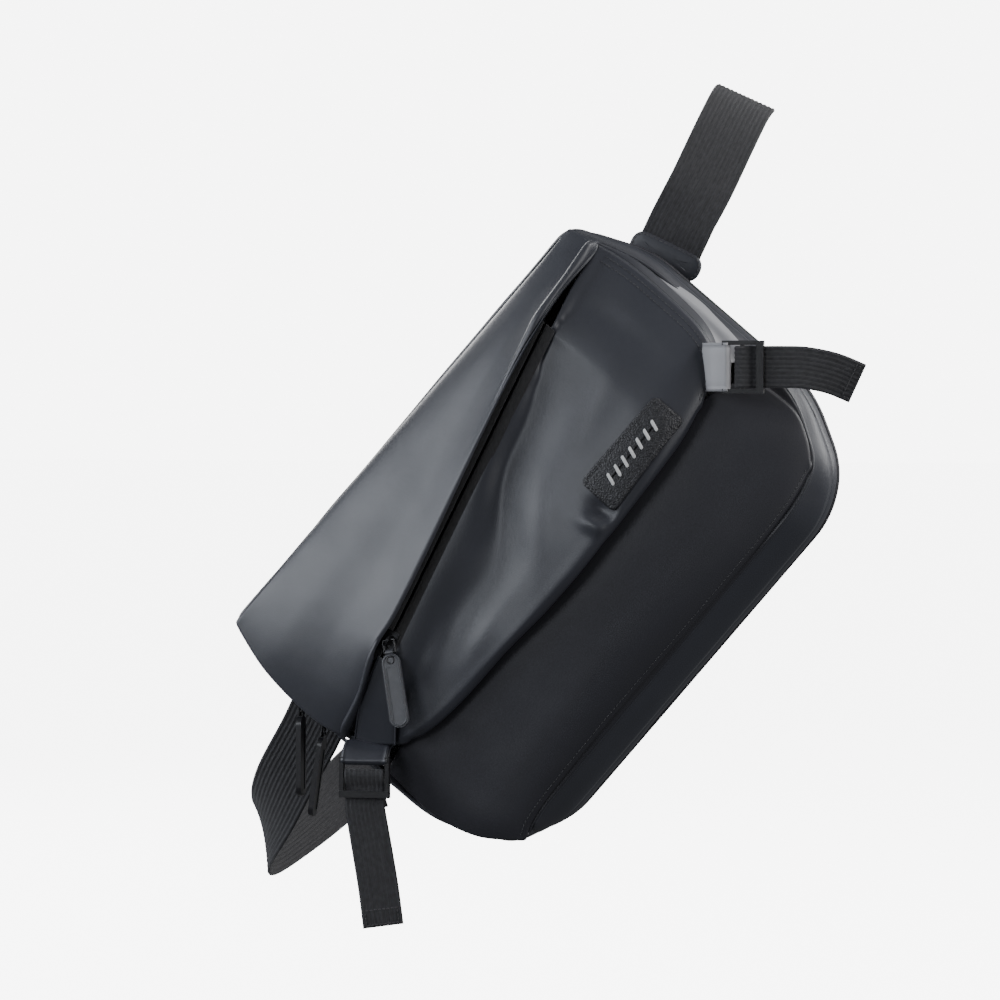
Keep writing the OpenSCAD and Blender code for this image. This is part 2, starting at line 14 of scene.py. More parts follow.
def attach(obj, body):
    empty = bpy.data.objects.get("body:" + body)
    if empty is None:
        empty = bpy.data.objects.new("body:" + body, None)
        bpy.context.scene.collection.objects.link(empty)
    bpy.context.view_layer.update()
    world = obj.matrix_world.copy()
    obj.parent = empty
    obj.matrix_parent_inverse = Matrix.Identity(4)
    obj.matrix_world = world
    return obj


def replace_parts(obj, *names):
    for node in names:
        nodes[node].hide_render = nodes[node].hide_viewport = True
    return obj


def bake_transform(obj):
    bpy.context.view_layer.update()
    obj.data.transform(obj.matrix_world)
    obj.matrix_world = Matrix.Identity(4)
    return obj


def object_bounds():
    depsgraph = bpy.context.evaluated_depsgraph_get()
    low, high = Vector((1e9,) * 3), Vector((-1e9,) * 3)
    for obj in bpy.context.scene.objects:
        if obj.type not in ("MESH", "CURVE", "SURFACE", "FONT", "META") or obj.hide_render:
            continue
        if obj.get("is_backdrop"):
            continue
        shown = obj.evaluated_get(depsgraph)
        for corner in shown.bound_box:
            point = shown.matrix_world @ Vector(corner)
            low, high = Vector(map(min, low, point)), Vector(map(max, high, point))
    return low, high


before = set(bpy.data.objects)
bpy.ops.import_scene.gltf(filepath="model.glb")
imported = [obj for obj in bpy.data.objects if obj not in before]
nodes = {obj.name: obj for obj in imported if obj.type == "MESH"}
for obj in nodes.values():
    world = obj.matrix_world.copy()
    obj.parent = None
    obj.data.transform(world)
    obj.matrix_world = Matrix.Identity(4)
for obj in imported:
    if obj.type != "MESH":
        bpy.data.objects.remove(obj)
cad_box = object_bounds()

MM = 0.001
LEAN = math.radians(49.4)
BAG_AT = Vector((-0.103, -0.064, -0.281))
ALONG = Vector((math.cos(LEAN), 0, math.sin(LEAN)))
ACROSS = Vector((-math.sin(LEAN), 0, math.cos(LEAN)))
OUT = Vector((0, -1, 0))

HALF_LEN = 175
HALF_HEIGHT = 116
PAD = 9
ZIP_W = 38
SLIT = 1.4
STRAP_WIDTH = 40
STRAP_THICK = 2.2
WEB_WIDTH = 25
WEB_THICK = 1.5
BUCKLE_LEN = 25
STRAP_BUCKLE_LEN = 34
MID_BAR = 0.4
PANEL_THICK = 1.6


# ---- points and curves ----
def bag(p):
    """The row-frame point of (u, v, w) in the bag."""
    return BAG_AT + MM * (p[0] * ALONG + p[1] * ACROSS + p[2] * OUT)


def row(p):
    """The row-frame point of a point given in millimetres in that frame."""
    return MM * Vector(p)


def spline(points, share):
    """The point at a share of a smooth curve through the points, the same curve as in the CAD."""
    last = len(points) - 1
    x = min(last - 1e-6, max(0.0, share * last))
    i = int(x)
    t = x - i
    a, b, c, d = (Vector(points[min(last, max(0, k))]) for k in (i - 1, i, i + 1, i + 2))
    return 0.5 * (2 * b + (c - a) * t + (2 * a - 5 * b + 4 * c - d) * t**2 + (3 * b - a - 3 * c + d) * t**3)


def sample(points, count):
    return [spline(points, i / count) for i in range(count + 1)]


def patch(low, high, left, right, s, t):
    """A point of the smooth sheet that fills four edge curves."""
    corners = (Vector(low[0]).lerp(Vector(low[-1]), s)).lerp(Vector(high[0]).lerp(Vector(high[-1]), s), t)
    return (
        spline(low, s).lerp(spline(high, s), t)
        + spline(left, t).lerp(spline(right, t), s)
        - corners
    )


def dome(x):
    return 1 - abs(2 * x - 1) ** 2.6


def rounded(corners, cuts, steps=8):
    """A closed loop with each corner rounded over the given length of its two sides."""
    loop = []
    for i, cut in enumerate(cuts):
        here, before, after = (Vector(corners[(i + k) % len(corners)]) for k in (0, -1, 1))
        start = here + cut * (before - here).normalized()
        end = here + cut * (after - here).normalized()
        for j in range(steps + 1):
            t = j / steps
            loop.append((1 - t) ** 2 * start + 2 * t * (1 - t) * here + t**2 * end)
    return loop


def evenly(loop, count):
    """The closed loop walked in equal steps."""
    ring = [Vector(p) for p in loop] + [Vector(loop[0])]
    walked = [0.0]
    for a, b in zip(ring, ring[1:]):
        walked.append(walked[-1] + (b - a).length)
    out = []
    k = 0
    for i in range(count):
        target = walked[-1] * i / count
        while walked[k + 1] < target:
            k += 1
        out.append(ring[k].lerp(ring[k + 1], (target - walked[k]) / max(1e-9, walked[k + 1] - walked[k])))
    return out


# ---- materials ----
def nodes_of(material):
    tree = material.node_tree
    return tree.nodes, tree.links, tree.nodes["Principled BSDF"]


def new_material(name, base, roughness, **fixed):
    material = bpy.data.materials.new(name)
    material.use_nodes = True
    _, _, shader = nodes_of(material)
    shader.inputs["Base Color"].default_value = (*base, 1)
    shader.inputs["Roughness"].default_value = roughness
    for socket, value in fixed.items():
        shader.inputs[socket.replace("_", " ")].default_value = value
    return material


def texture(material, kind, coordinates, **values):
    """A texture node, placed by the piece's own coordinates or by those laid along its cloth."""
    tree, links, _ = nodes_of(material)
    place = tree.new("ShaderNodeTexCoord")
    made = tree.new("ShaderNodeTex" + kind)
    for socket, value in values.items():
        made.inputs[socket].default_value = value
    links.new(place.outputs[coordinates], made.inputs["Vector"])
    return made


def colour_noise(material, base, spread, scale, coordinates="Object"):
    """Slow changes of tone about the base colour."""
    tree, links, shader = nodes_of(material)
    cloud = texture(material, "Noise", coordinates, Scale=scale, Detail=4)
    ramp = tree.new("ShaderNodeValToRGB")
    dark, light = ramp.color_ramp.elements
    dark.position, light.position = 0.3, 0.7
    dark.color = (*[c * (1 - spread) for c in base], 1)
    light.color = (*[c * (1 + spread) for c in base], 1)
    links.new(cloud.outputs["Fac"], ramp.inputs["Fac"])
    links.new(ramp.outputs["Color"], shader.inputs["Base Color"])


def add_bump(material, height, strength, distance):
    """Adds a height to the surface on top of any bump that the material already has."""
    tree, links, shader = nodes_of(material)
    bump = tree.new("ShaderNodeBump")
    bump.inputs["Strength"].default_value = strength
    bump.inputs["Distance"].default_value = distance
    if shader.inputs["Normal"].is_linked:
        links.new(shader.inputs["Normal"].links[0].from_socket, bump.inputs["Normal"])
    links.new(height, bump.inputs["Height"])
    links.new(bump.outputs["Normal"], shader.inputs["Normal"])


def noise_height(material, scale, detail=2):
    return texture(material, "Noise", "Object", Scale=scale, Detail=detail).outputs["Fac"]


def cell_height(material, scale):
    return texture(material, "Voronoi", "Object", Scale=scale).outputs["Distance"]


def wave_height(material, scale, direction):
    wave = texture(material, "Wave", "UV", Scale=scale, Distortion=0.4, Detail=1)
    wave.bands_direction = direction
    return wave.outputs["Fac"]


def vary_roughness(material, low, high, scale):
    tree, links, shader = nodes_of(material)
    spread = tree.new("ShaderNodeMapRange")
    spread.inputs["To Min"].default_value = low
    spread.inputs["To Max"].default_value = high
    links.new(noise_height(material, scale, 3), spread.inputs["Value"])
    links.new(spread.outputs["Result"], shader.inputs["Roughness"])


def coated(name, base, roughness):
    """Fabric under a smooth satin coating, with the cloth just showing through."""
    coat = {"Specular_IOR_Level": 0.55, "Coat_Weight": 0.06, "Coat_Roughness": 0.35}
    material = new_material(name, base, roughness, **coat)
    colour_noise(material, base, 0.12, 9)
    vary_roughness(material, roughness - 0.05, roughness + 0.06, 30)
    add_bump(material, noise_height(material, 22, 2), 0.18, 0.004)
    add_bump(material, cell_height(material, 1500), 0.1, 0.0003)
    return material


def woven(name, base, roughness, threads=520):
    """Plain weave, threads to the metre along the strip's own length and width."""
    material = new_material(name, base, roughness, Sheen_Weight=0.12, Sheen_Roughness=0.5)
    colour_noise(material, base, 0.25, 300, coordinates="UV")
    add_bump(material, wave_height(material, threads, "X"), 0.45, 0.0004)
    add_bump(material, wave_height(material, threads * 0.7, "Y"), 0.35, 0.0004)
    return material


def grained(name, base, roughness, tone, height, size, bump, **fixed):
    """A material with changes of tone, given as (spread, scale), and a grain of the given size.

    bump is the grain's (strength, depth in metres).
    """
    material = new_material(name, base, roughness, **fixed)
    colour_noise(material, base, *tone)
    add_bump(material, height(material, size), *bump)
    return material


COATED = coated("coated_fabric", (0.029, 0.031, 0.040), 0.45)
# A darker copy of the coated fabric: on the lower panel this darkness is painted shade, for a panel turned
# downwards and shaded by the pocket's lip. The rear piping cord also uses it.
COATED_DARK_PAINTED_SHADE = coated("coated_fabric_dark_painted_shade", (0.019, 0.019, 0.025), 0.5)
# A lighter copy of the coated fabric: its extra lightness is painted light, for the top flap facing the
# lamp at the upper left and for the glint along the zip patch's edges.
COATED_PAINTED_LIGHT = coated("coated_fabric_painted_light", (0.033, 0.035, 0.044), 0.44)
# A pale copy of the coated fabric: its paleness is a painted highlight, for the gusset and tab by the right
# end catching light from the upper right.
COATED_PAINTED_HIGHLIGHT = coated("coated_fabric_pale", (0.31, 0.31, 0.325), 0.5)
WEBBING = woven("ribbed_webbing", (0.022, 0.022, 0.025), 0.7)
TAPE = woven("zip_tape", (0.014, 0.014, 0.016), 0.75, 900)
LINING = woven("lining_cloth", (0.075, 0.075, 0.08), 0.8, 1100)
MESH_PAD = grained(
    "padded_mesh", (0.02, 0.02, 0.022), 0.85, (0.3, 40), cell_height, 420, (0.9, 0.0012),
    Sheen_Weight=0.2, Sheen_Roughness=0.6,
)
LEATHER = grained(
    "grained_patch", (0.017, 0.017, 0.02), 0.48, (0.45, 350), cell_height, 900, (0.7, 0.0006)
)
THREAD = grained(
    "thread", (0.035, 0.035, 0.04), 0.6, (0.3, 900), noise_height, 2500, (0.5, 0.0002), Sheen_Weight=0.2
)
MARK = grained("pale_mark", (0.6, 0.6, 0.6), 0.5, (0.08, 700), noise_height, 1800, (0.3, 0.0002))
RUBBER = grained(
    "pull_moulding", (0.05, 0.052, 0.06), 0.38, (0.12, 120), noise_height, 1800, (0.25, 0.0002)
)
RUBBER_DARK = grained(
    "pull_moulding_dark", (0.012, 0.012, 0.014), 0.35, (0.2, 120), noise_height, 1800, (0.25, 0.0002)
)
PLASTIC_TONE = (0.013, 0.013, 0.014)
PLASTIC = new_material("moulded_plastic", PLASTIC_TONE, 0.33, Specular_IOR_Level=0.5)
colour_noise(PLASTIC, PLASTIC_TONE, 0.2, 60)
vary_roughness(PLASTIC, 0.27, 0.42, 90)
add_bump(PLASTIC, noise_height(PLASTIC, 2600, 1), 0.25, 0.0002)
METAL_TONE = (0.016, 0.016, 0.018)
METAL = new_material("lacquered_metal", METAL_TONE, 0.28, Metallic=0.6, Coat_Weight=0.5, Coat_Roughness=0.2)
colour_noise(METAL, METAL_TONE, 0.3, 200)
vary_roughness(METAL, 0.22, 0.36, 260)


# ---- building meshes ----
def add_object(name, data):
    added = bpy.data.objects.new(name, data)
    bpy.context.collection.objects.link(added)
    return added


def make(name, verts, faces, material, body, slot, uvs=None):
    """A mesh piece that rides on a CAD body. uvs holds one (x, y) in metres for each vertex."""
    mesh = bpy.data.meshes.new(name)
    mesh.from_pydata([tuple(v) for v in verts], [], faces)
    mesh.polygons.foreach_set("use_smooth", [True] * len(mesh.polygons))
    if uvs:
        layer = mesh.uv_layers.new(name="UVMap")
        for loop in mesh.loops:
            layer.data[loop.index].uv = uvs[loop.vertex_index]
    mesh.materials.append(material)
    mesh.validate()
    piece = add_object(name, mesh)
    if body:
        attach(piece, body)
    return piece


def bake(piece):
    """Works the piece's modifiers into its mesh."""
    bpy.context.view_layer.update()
    shaped = piece.evaluated_get(bpy.context.evaluated_depsgraph_get())
    mesh = bpy.data.meshes.new_from_object(shaped)
    piece.modifiers.clear()
    piece.data = mesh
    return piece


CLOTH_STEPS = 20


def blow_up(piece, voxel, pressure, cap):
    """Remeshes a closed piece and blows it up by cloth simulation, moving no point further than cap."""
    remesh = piece.modifiers.new("remesh", "REMESH")
    remesh.mode = "VOXEL"
    remesh.voxel_size = voxel * MM
    bake(piece)
    before = [vertex.co.copy() for vertex in piece.data.vertices]
    cloth = piece.modifiers.new("cloth", "CLOTH")
    cloth.settings.use_pressure = True
    cloth.settings.uniform_pressure_force = pressure
    cloth.settings.effector_weights.gravity = 0
    for step in range(1, CLOTH_STEPS + 1):
        bpy.context.scene.frame_set(step)
    bake(piece)
    bpy.context.scene.frame_set(1)
    for vertex, start in zip(piece.data.vertices, before):
        moved = vertex.co - start
        if moved.length > cap * MM:
            vertex.co = start + moved.normalized() * cap * MM
    return piece


def subdivide(piece, levels=1):
    """Rounds the piece off."""
    soft = piece.modifiers.new("soft_edges", "SUBSURF")
    soft.levels = soft.render_levels = levels
    return piece


def thicken(piece, thick, rounding=1):
    """Gives a sheet a thickness behind its face, with soft edges."""
    solid = piece.modifiers.new("thickness", "SOLIDIFY")
    solid.thickness = thick * MM
    solid.offset = -1
    solid.use_even_offset = False
    return subdivide(piece, rounding)


def turn_outwards(piece):
    """Makes all of the piece's faces look out of it."""
    bm = bmesh.new()
    bm.from_mesh(piece.data)
    bmesh.ops.recalc_face_normals(bm, faces=bm.faces)
    bm.to_mesh(piece.data)
    bm.free()
    return piece


def quads(rows, columns):
    """Faces of a grid whose vertex (i, j) has the index i * columns + j."""
    faces = []
    for i in range(rows - 1):
        for j in range(columns - 1):
            a = i * columns + j
            b = a + columns
            faces.append((a, b, b + 1, a + 1))
    return faces


def bands(rows, count, closed=True):
    """Faces between rows of vertices. rows holds each row's first index, and count its length."""
    faces = []
    for a, b in zip(rows, rows[1:]):
        for k in range(count if closed else count - 1):
            m = (k + 1) % count
            faces.append((a + k, a + m, b + m, b + k))
    return faces


def capped(number, count, base=0):
    """Faces of a tube of rows of vertices from the index base on, with both of its ends filled."""
    rows = [base + r * count for r in range(number)]
    ends = [tuple(range(base + count - 1, base - 1, -1)), tuple(rows[-1] + k for k in range(count))]
    return bands(rows, count) + ends


def sheet(name, face, across, up, thick, material, body, slot):
    """A sheet with the outer face face(s, t), in the bag's own directions."""
    points = [face(i / across, j / up) for i in range(across + 1) for j in range(up + 1)]
    uvs = [(p[0] * MM, p[1] * MM) for p in points]
    piece = make(name, [bag(p) for p in points], quads(across + 1, up + 1), material, body, slot, uvs)
    return thicken(piece, thick)


def smoothed(values, closed, rounds):
    """A run of numbers or vectors, each moved towards its neighbours."""
    for _ in range(rounds):
        before = [values[-1] if closed else values[0]] + values[:-1]
        after = values[1:] + [values[0] if closed else values[-1]]
        values = [(low + 2 * here + high) / 4 for low, here, high in zip(before, values, after)]
    return values


def nearest(point, line):
    return min(line, key=lambda other: (other - point).length_squared)


def rolled_sheet(name, face, across, up, sides, thick, material, body, slot):
    """A sheet whose edges roll over and are then tucked in.

    sides holds, for each of "low", "left", "right" and "high" that does so, the radius of its roll
    and the two lines that it is tucked along.
    """
    points = [face(i / across, j / up) for i in range(across + 1) for j in range(up + 1)]
    faces = quads(across + 1, up + 1)
    edge = []
    if "high" in sides:
        edge += [("high", i, up) for i in range(across, 0, -1)]
    if "left" in sides:
        edge += [("left", 0, j) for j in range(up, 0, -1)]
    edge += [("low", i, 0) for i in range(across)]
    if "right" in sides:
        edge += [("right", across, j) for j in range(up + (0 if "high" in sides else 1))]
    else:
        edge.append(("low", across, 0))
    closed = "high" in sides
    outward = []
    for _, i, j in edge:
        inner = (min(max(i, 2), across - 2), min(max(j, 2), up - 2))
        outward.append((points[i * (up + 1) + j] - points[inner[0] * (up + 1) + inner[1]]).normalized())
    outward = [lean.normalized() for lean in smoothed(outward, closed, 6)]
    radius = smoothed([sides[side][0] for side, _, _ in edge], closed, 10)
    rows = 7
    previous = [i * (up + 1) + j for _, i, j in edge]
    starts = [points[k].copy() for k in previous]
    tucked = [
        smoothed([nearest(start, sides[side][k]) for start, (side, _, _) in zip(starts, edge)], closed, 4)
        for k in (1, 2)
    ]
    for r in range(1, rows + 5):
        base = len(points)
        turn = math.radians(95) * min(r, rows) / rows
        for n, start in enumerate(starts):
            lean = outward[n]
            down = (Vector((0, 0, -1)) + lean[2] * lean).normalized()
            spot = start + radius[n] * (lean * math.sin(turn) + down * (1 - math.cos(turn)))
            if r > rows + 2:
                spot = tucked[0][n].lerp(tucked[1][n], (r - rows - 2) / 2)
            elif r > rows:
                spot = spot.lerp(tucked[0][n], (r - rows) / 2)
            points.append(spot)
        for n in range(len(edge) - (0 if closed else 1)):
            m = (n + 1) % len(edge)
            faces.append((previous[n], base + n, base + m, previous[m]))
        previous = list(range(base, len(points)))
    uvs = [(p[0] * MM, (p[1] + p[2]) * MM) for p in points]
    piece = make(name, [bag(p) for p in points], faces, material, body, slot, uvs)
    return thicken(turn_outwards(piece), thick)


def strap_profile(width, thick, ribs):
    """Points round a strap's section as (across, up), with lengthwise ribs on both faces."""
    half = thick / 2
    count = max(8, ribs * 6)
    top = []
    for k in range(count + 1):
        x = -width / 2 + width * k / count
        past = max(0.0, abs(x) - (width / 2 - half)) / half
        rise = half * math.sqrt(max(0.0, 1 - past**2)) * 0.9 + half * 0.1
        top.append((x, rise - 0.2 * half * (1 + math.cos(2 * math.pi * ribs * (x / width + 0.5)))))
    return [(x, half + y) for x, y in top] + [(x, half - y) for x, y in reversed(top)]


def strap_axes(path, sides, share):
    """The directions across and out of a strap at a share of its length."""
    ahead = (spline(path, min(1, share + 0.01)) - spline(path, max(0, share - 0.01))).normalized()
    raw = spline(sides, share).normalized()
    side = (raw - raw.dot(ahead) * ahead).normalized()
    return side, side.cross(ahead)


HEM_SWELL = 1.75


def ribbon(
    name, path, sides, width, thick, steps, body,
    ribs=14, material=WEBBING, slot="webbing", place=row, hem=0,
):
    """A strap along a path. sides holds the direction of its width, and hem is a folded end's length."""
    section = strap_profile(width, thick, ribs)
    verts = []
    uvs = []
    walked = 0.0
    centres = sample(path, steps)
    total = sum((b - a).length for a, b in zip(centres, centres[1:]))
    for i, centre in enumerate(centres):
        share = i / steps
        if i:
            walked += (centre - centres[i - 1]).length
        side, up = strap_axes(path, sides, share)
        fat = HEM_SWELL if hem and walked > total - hem else 1
        for x, y in section:
            verts.append(place(centre + side * x + up * (thick / 2 + (y - thick / 2) * fat)))
            uvs.append((walked * MM, x * MM))
    count = len(section)
    faces = []
    for i in range(steps):
        for j in range(count):
            a, b = i * count + j, i * count + (j + 1) % count
            faces.append((a, a + count, b + count, b))
    faces.append(tuple(range(count)))
    faces.append(tuple(range(steps * count + count - 1, steps * count - 1, -1)))
    return make(name, verts, faces, material, body, slot, uvs)


def tube(name, points, radius, material, body, slot, closed=False, around=8):
    """A round cord through row-frame points, in metres."""
    verts = []
    count = len(points)
    for i, here in enumerate(points):
        before = points[(i - 1) % count] if closed or i else points[0]
        after = points[(i + 1) % count] if closed or i < count - 1 else points[-1]
        ahead = (after - before).normalized()
        side = ahead.cross(OUT)
        side = side.normalized() if side.length > 0.05 else ahead.cross(Vector((0, 0, 1))).normalized()
        up = side.cross(ahead)
        for k in range(around):
            turn = 2 * math.pi * k / around
            verts.append(here + radius * (side * math.cos(turn) + up * math.sin(turn)))
    if closed:
        faces = bands([i * around for i in range(count)] + [0], around)
    else:
        faces = capped(count, around)
    return make(name, verts, faces, material, body, slot)


# One stitch: places along it and its fatness there, as shares of its length and radius
STITCH_SHAPE = [(-0.5, 0.35), (-0.3, 0.9), (0, 1), (0.3, 0.9), (0.5, 0.35)]


def stitches(name, lines, body, pitch=3.2, length=2.3, radius=0.32):
    """Rows of stitches. Each line is (row-frame points in metres, outward direction)."""
    verts = []
    faces = []
    around = 6
    for points, out in lines:
        walked = 0.0
        target = pitch / 2
        for a, b in zip(points, points[1:]):
            span = (b - a).length / MM
            while walked + span > target:
                centre = a.lerp(b, (target - walked) / span) + out * radius * 0.5 * MM
                ahead = (b - a).normalized()
                side = ahead.cross(out).normalized()
                up = side.cross(ahead)
                base = len(verts)
                for shift, swell in STITCH_SHAPE:
                    for k in range(around):
                        turn = 2 * math.pi * k / around
                        ring = side * math.cos(turn) + up * math.sin(turn) * 0.8
                        verts.append(centre + MM * (ahead * shift * length + ring * radius * swell))
                faces += capped(len(STITCH_SHAPE), around, base)
                target += pitch
            walked += span
    return make(name, verts, faces, THREAD, body, "webbing")


def slab(name, outline, rings, place, material, body, slot):
    """A flat moulded or sewn piece.

    outline(inset) gives its closed edge as (x, y), drawn in by inset. rings holds (inset, height)
    from the middle of the back, round the edge, to the middle of the front.
    """
    verts = []
    uvs = []
    for inset, height in rings:
        for x, y in outline(inset):
            verts.append(place(Vector((x, y, height))))
            uvs.append((x * MM, y * MM))
    faces = capped(len(rings), len(outline(0)))
    return turn_outwards(make(name, verts, faces, material, body, slot, uvs))


def rounded_box(width, height, radius, inset, steps=6):
    """The edge of a rectangle with round corners, drawn in by inset."""
    corners = [(1, 1, 0), (-1, 1, 90), (-1, -1, 180), (1, -1, 270)]
    out = []
    r = max(0.3, radius - inset)
    for sx, sy, start in corners:
        for k in range(steps + 1):
            turn = math.radians(start + 90 * k / steps)
            cx, cy = sx * (width / 2 - inset - r), sy * (height / 2 - inset - r)
            out.append((cx + r * math.cos(turn), cy + r * math.sin(turn)))
    return out


def outward_of(loop):
    """For each point of a clockwise loop, the direction out of it in u and v."""
    count = len(loop)
    normals = []
    for i in range(count):
        run = loop[(i + 1) % count] - loop[i - 1]
        normals.append(Vector((-run[1], run[0], 0)).normalized())
    return normals


def wall(name, loop, profile, material, body, slot, keep=None, puff=0.0, crumple=0.0):
    """A strip round the bag. profile holds (outwards, w) from the wearer's side to the front."""
    normals = outward_of(loop)
    count = len(loop)
    wide = len(profile)
    low, high = profile[0][1], profile[-1][1]
    points = []
    for i, here in enumerate(loop):
        for out, w in profile:
            share = (w - low) / (high - low)
            swell = puff * math.sin(math.pi * min(1, max(0, share)))
            wave = crumple * noise.noise(Vector((here[0], here[1], w)) * 0.03)
            spot = here + normals[i] * (out + swell + wave * math.sin(math.pi * share))
            points.append(Vector((spot[0], spot[1], w)))
    faces = []
    for i in range(count):
        m = (i + 1) % count
        if keep and not (keep(loop[i]) and keep(loop[m])):
            continue
        for j in range(wide - 1):
            a, b = i * wide + j, m * wide + j
            faces.append((a, a + 1, b + 1, b))
    used = sorted({k for f in faces for k in f})
    new = {k: n for n, k in enumerate(used)}
    walked = [0.0]
    for a, b in zip(loop, loop[1:]):
        walked.append(walked[-1] + (b - a).length)
    uvs = [(walked[k // wide] * MM, points[k][2] * MM) for k in used]
    verts = [bag(points[k]) for k in used]
    return make(name, verts, [tuple(new[k] for k in f) for f in faces], material, body, slot, uvs)


def loft(name, rings, material, body, slot, closed=True, thick=0, rounding=1):
    """A surface through rings of bag-frame points that all have the same number of points."""
    count = len(rings[0])
    faces = bands(range(0, len(rings) * count, count), count, closed)
    points = [p for ring in rings for p in ring]
    uvs = []
    for r, ring in enumerate(rings):
        walked = 0.0
        for k, here in enumerate(ring):
            walked += (here - ring[k - 1]).length if k else 0
            uvs.append((walked * MM, r * 4 * MM))
    piece = make(name, [bag(p) for p in points], faces, material, body, slot, uvs)
    return thicken(piece, thick, rounding) if thick else piece


COIL_PITCH = 1.5
COIL_STEPS = 9


def coil(name, line, body):
    """The teeth of a zip: one thin wire wound along a bag-frame line."""
    points = []
    walked = 0.0
    for a, b in zip(line, line[1:]):
        span = (b - a).length
        ahead = (b - a).normalized()
        side = ahead.cross(Vector((0, 0, 1)))
        side = side.normalized() if side.length > 0.3 else Vector((1, 0, 0))
        rise = side.cross(ahead)
        steps = max(1, round(span / (COIL_PITCH / COIL_STEPS)))
        for k in range(steps):
            angle = 2 * math.pi * (walked + span * k / steps) / COIL_PITCH
            offset = side * math.cos(angle) * 0.6 + rise * math.sin(angle) * 0.75
            points.append(bag(a.lerp(b, k / steps) + offset))
        walked += span
    return tube(name, points, 0.3 * MM, PLASTIC, body, "coil", around=5)


# ---- the bag's edges, in its own directions ----
def shifted(line, by):
    return [Vector(p) + Vector(by) for p in line]


OUTLINE = [
    (157, 116, 0), (175, 74, 0), (175, -56, 0), (150, -101, 0), (122, -115, 0),
    (-122, -115, 0), (-150, -101, 0), (-175, -56, 0), (-175, 74, 0), (-166, 119, 0),
]
OUTLINE_ROUND = [9, 14, 20, 16, 14, 14, 16, 20, 14, 7]
RIM = [
    (155, 116, 51), (171, 66, 56), (170, -54, 57), (147, -93, 64), (118, -100, 68),
    (-122, -102, 68), (-143, -107, 65), (-170, -56, 58), (-173, 60, 59), (-165, 118, 51),
]
RIM_ROUND = [9, 20, 18, 12, 12, 12, 12, 18, 20, 7]
TOP_EDGE = [(-165, 118.5, 54), (-80, 118.5, 55), (0, 118, 55), (80, 117, 55), (155, 116, 54)]
SEAM_FROM = Vector((-100.6, 32.5, 88))
SEAM_TO = Vector((95.8, 82, 84))
SEAM_RUN = [SEAM_FROM.lerp(SEAM_TO, t) for t in (-0.08, 0, 0.25, 0.5, 0.75, 1, 1.06)]
SEAM = [Vector((-167, 16, 68)), Vector((-138, 20, 81)), *SEAM_RUN]
SEAM += [Vector((136, 88.5, 74)), Vector((161, 93, 64))]
LEFT_TOP = [(-167, 16, 68), (-172, 28, 67), (-175, 50, 64), (-173, 86, 60), (-165, 118.5, 54)]
RIGHT_TOP = [(161, 93, 64), (159, 106, 58), (155, 116, 54)]
LIP = [
    (-148, -9, 76), (-118, -19, 86), (-64, -24, 94), (-14, -27, 99), (22, -28, 100),
    (75, -26, 97), (109, -23, 90), (133, -18, 84),
]
LEFT_MID = [(-148, -9, 76), (-160, 3, 71), (-167, 16, 68)]
RIGHT_MID = [
    (133, -18, 84), (154, -8, 78.5), (164, 11, 75.5), (165.5, 45, 71), (164.5, 72, 67), (161, 93, 64),
]
LOWER_TOP = [
    (-168, -14, 61), (-140, -10, 68), (-100, -12, 74), (-60, -12, 80), (0, -14, 84),
    (60, -14, 83), (110, -14, 76), (140, -18, 70), (161, -28, 63),
]
CREASE = [
    (-142, -106, 69), (-122, -101, 72), (-60, -99, 74), (0, -99, 75), (70, -99, 74),
    (118, -97, 71), (145, -91, 68),
]
LEFT_LOW = [(-142, -106, 69), (-160, -83, 66), (-169, -53, 62), (-168, -14, 61)]
RIGHT_LOW = [(145, -91, 68), (155, -79, 66), (163, -60, 64), (161, -28, 63)]
POCKET_FOOT = [
    (-168, 14, 61.5), (-161, 2, 64), (-149, -7, 69.5), (-118, -15, 76), (-64, -18, 82.5),
    (-14, -21, 87.5), (22, -22, 88.5), (75, -21, 85.5), (109, -18, 79.5), (133, -15, 75),
    (156.5, -7, 68), (167.5, 11, 63), (170, 45, 60), (169, 72, 59), (163, 92, 58),
]
outline_loop = evenly(rounded(OUTLINE, OUTLINE_ROUND), 260)
rim_loop = evenly(rounded(RIM, RIM_ROUND), 260)
rim_out = outward_of(rim_loop)
rim_over = [p + n * 1.8 + Vector((0, 0, 1.8)) for p, n in zip(rim_loop, rim_out)]
rim_under = [p + n * 0.4 - Vector((0, 0, 1.5)) for p, n in zip(rim_loop, rim_out)]


def bump_at(s, t, s0, t0, width_s, width_t, height):
    return height * math.exp(-(((s - s0) / width_s) ** 2) - ((t - t0) / width_t) ** 2)


# ---- top panel: the flap over the slanted zip ----
FLAP = [
    (-167, 18, 68), (-141, 25.5, 84), (-111, 37, 95), (-85, 40.5, 98.5), (-48, 49.5, 98.5),
    (-12, 59, 98), (27, 69, 97), (75, 80.5, 95), (102, 86, 92), (126, 90.5, 82.5),
    (147, 92.5, 73), (161, 95.5, 64.5),
]
FLAP_LEFT = [FLAP[0]] + LEFT_TOP[1:]
FLAP_RIGHT = [FLAP[-1]] + RIGHT_TOP[1:]


def top_face(s, t):
    p = patch(FLAP, TOP_EDGE, FLAP_LEFT, FLAP_RIGHT, s, t)
    p[2] += 5 * dome(s) * dome(t)
    p[2] += bump_at(s, t, 0.72, 0.2, 0.16, 0.25, -1.2) + bump_at(s, t, 0.3, 0.35, 0.16, 0.3, 1.0)
    return p


seam_line = sample(SEAM, 160)
top_sides = {
    "low": (2.2, shifted(seam_line, (0, 5.5, 7.5)), shifted(seam_line, (0, 7, 0.6))),
    "left": (2.6, rim_over, rim_under),
    "right": (2.4, rim_over, rim_under),
    "high": (2.6, rim_over, rim_under),
}
# The flap is lighter than the other panels by painted light, not by its own colour.
top_panel = rolled_sheet(
    "top_flap", top_face, 110, 44, top_sides, PANEL_THICK, COATED_PAINTED_LIGHT, "front", "coated_light"
)
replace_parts(top_panel, "top_panel")

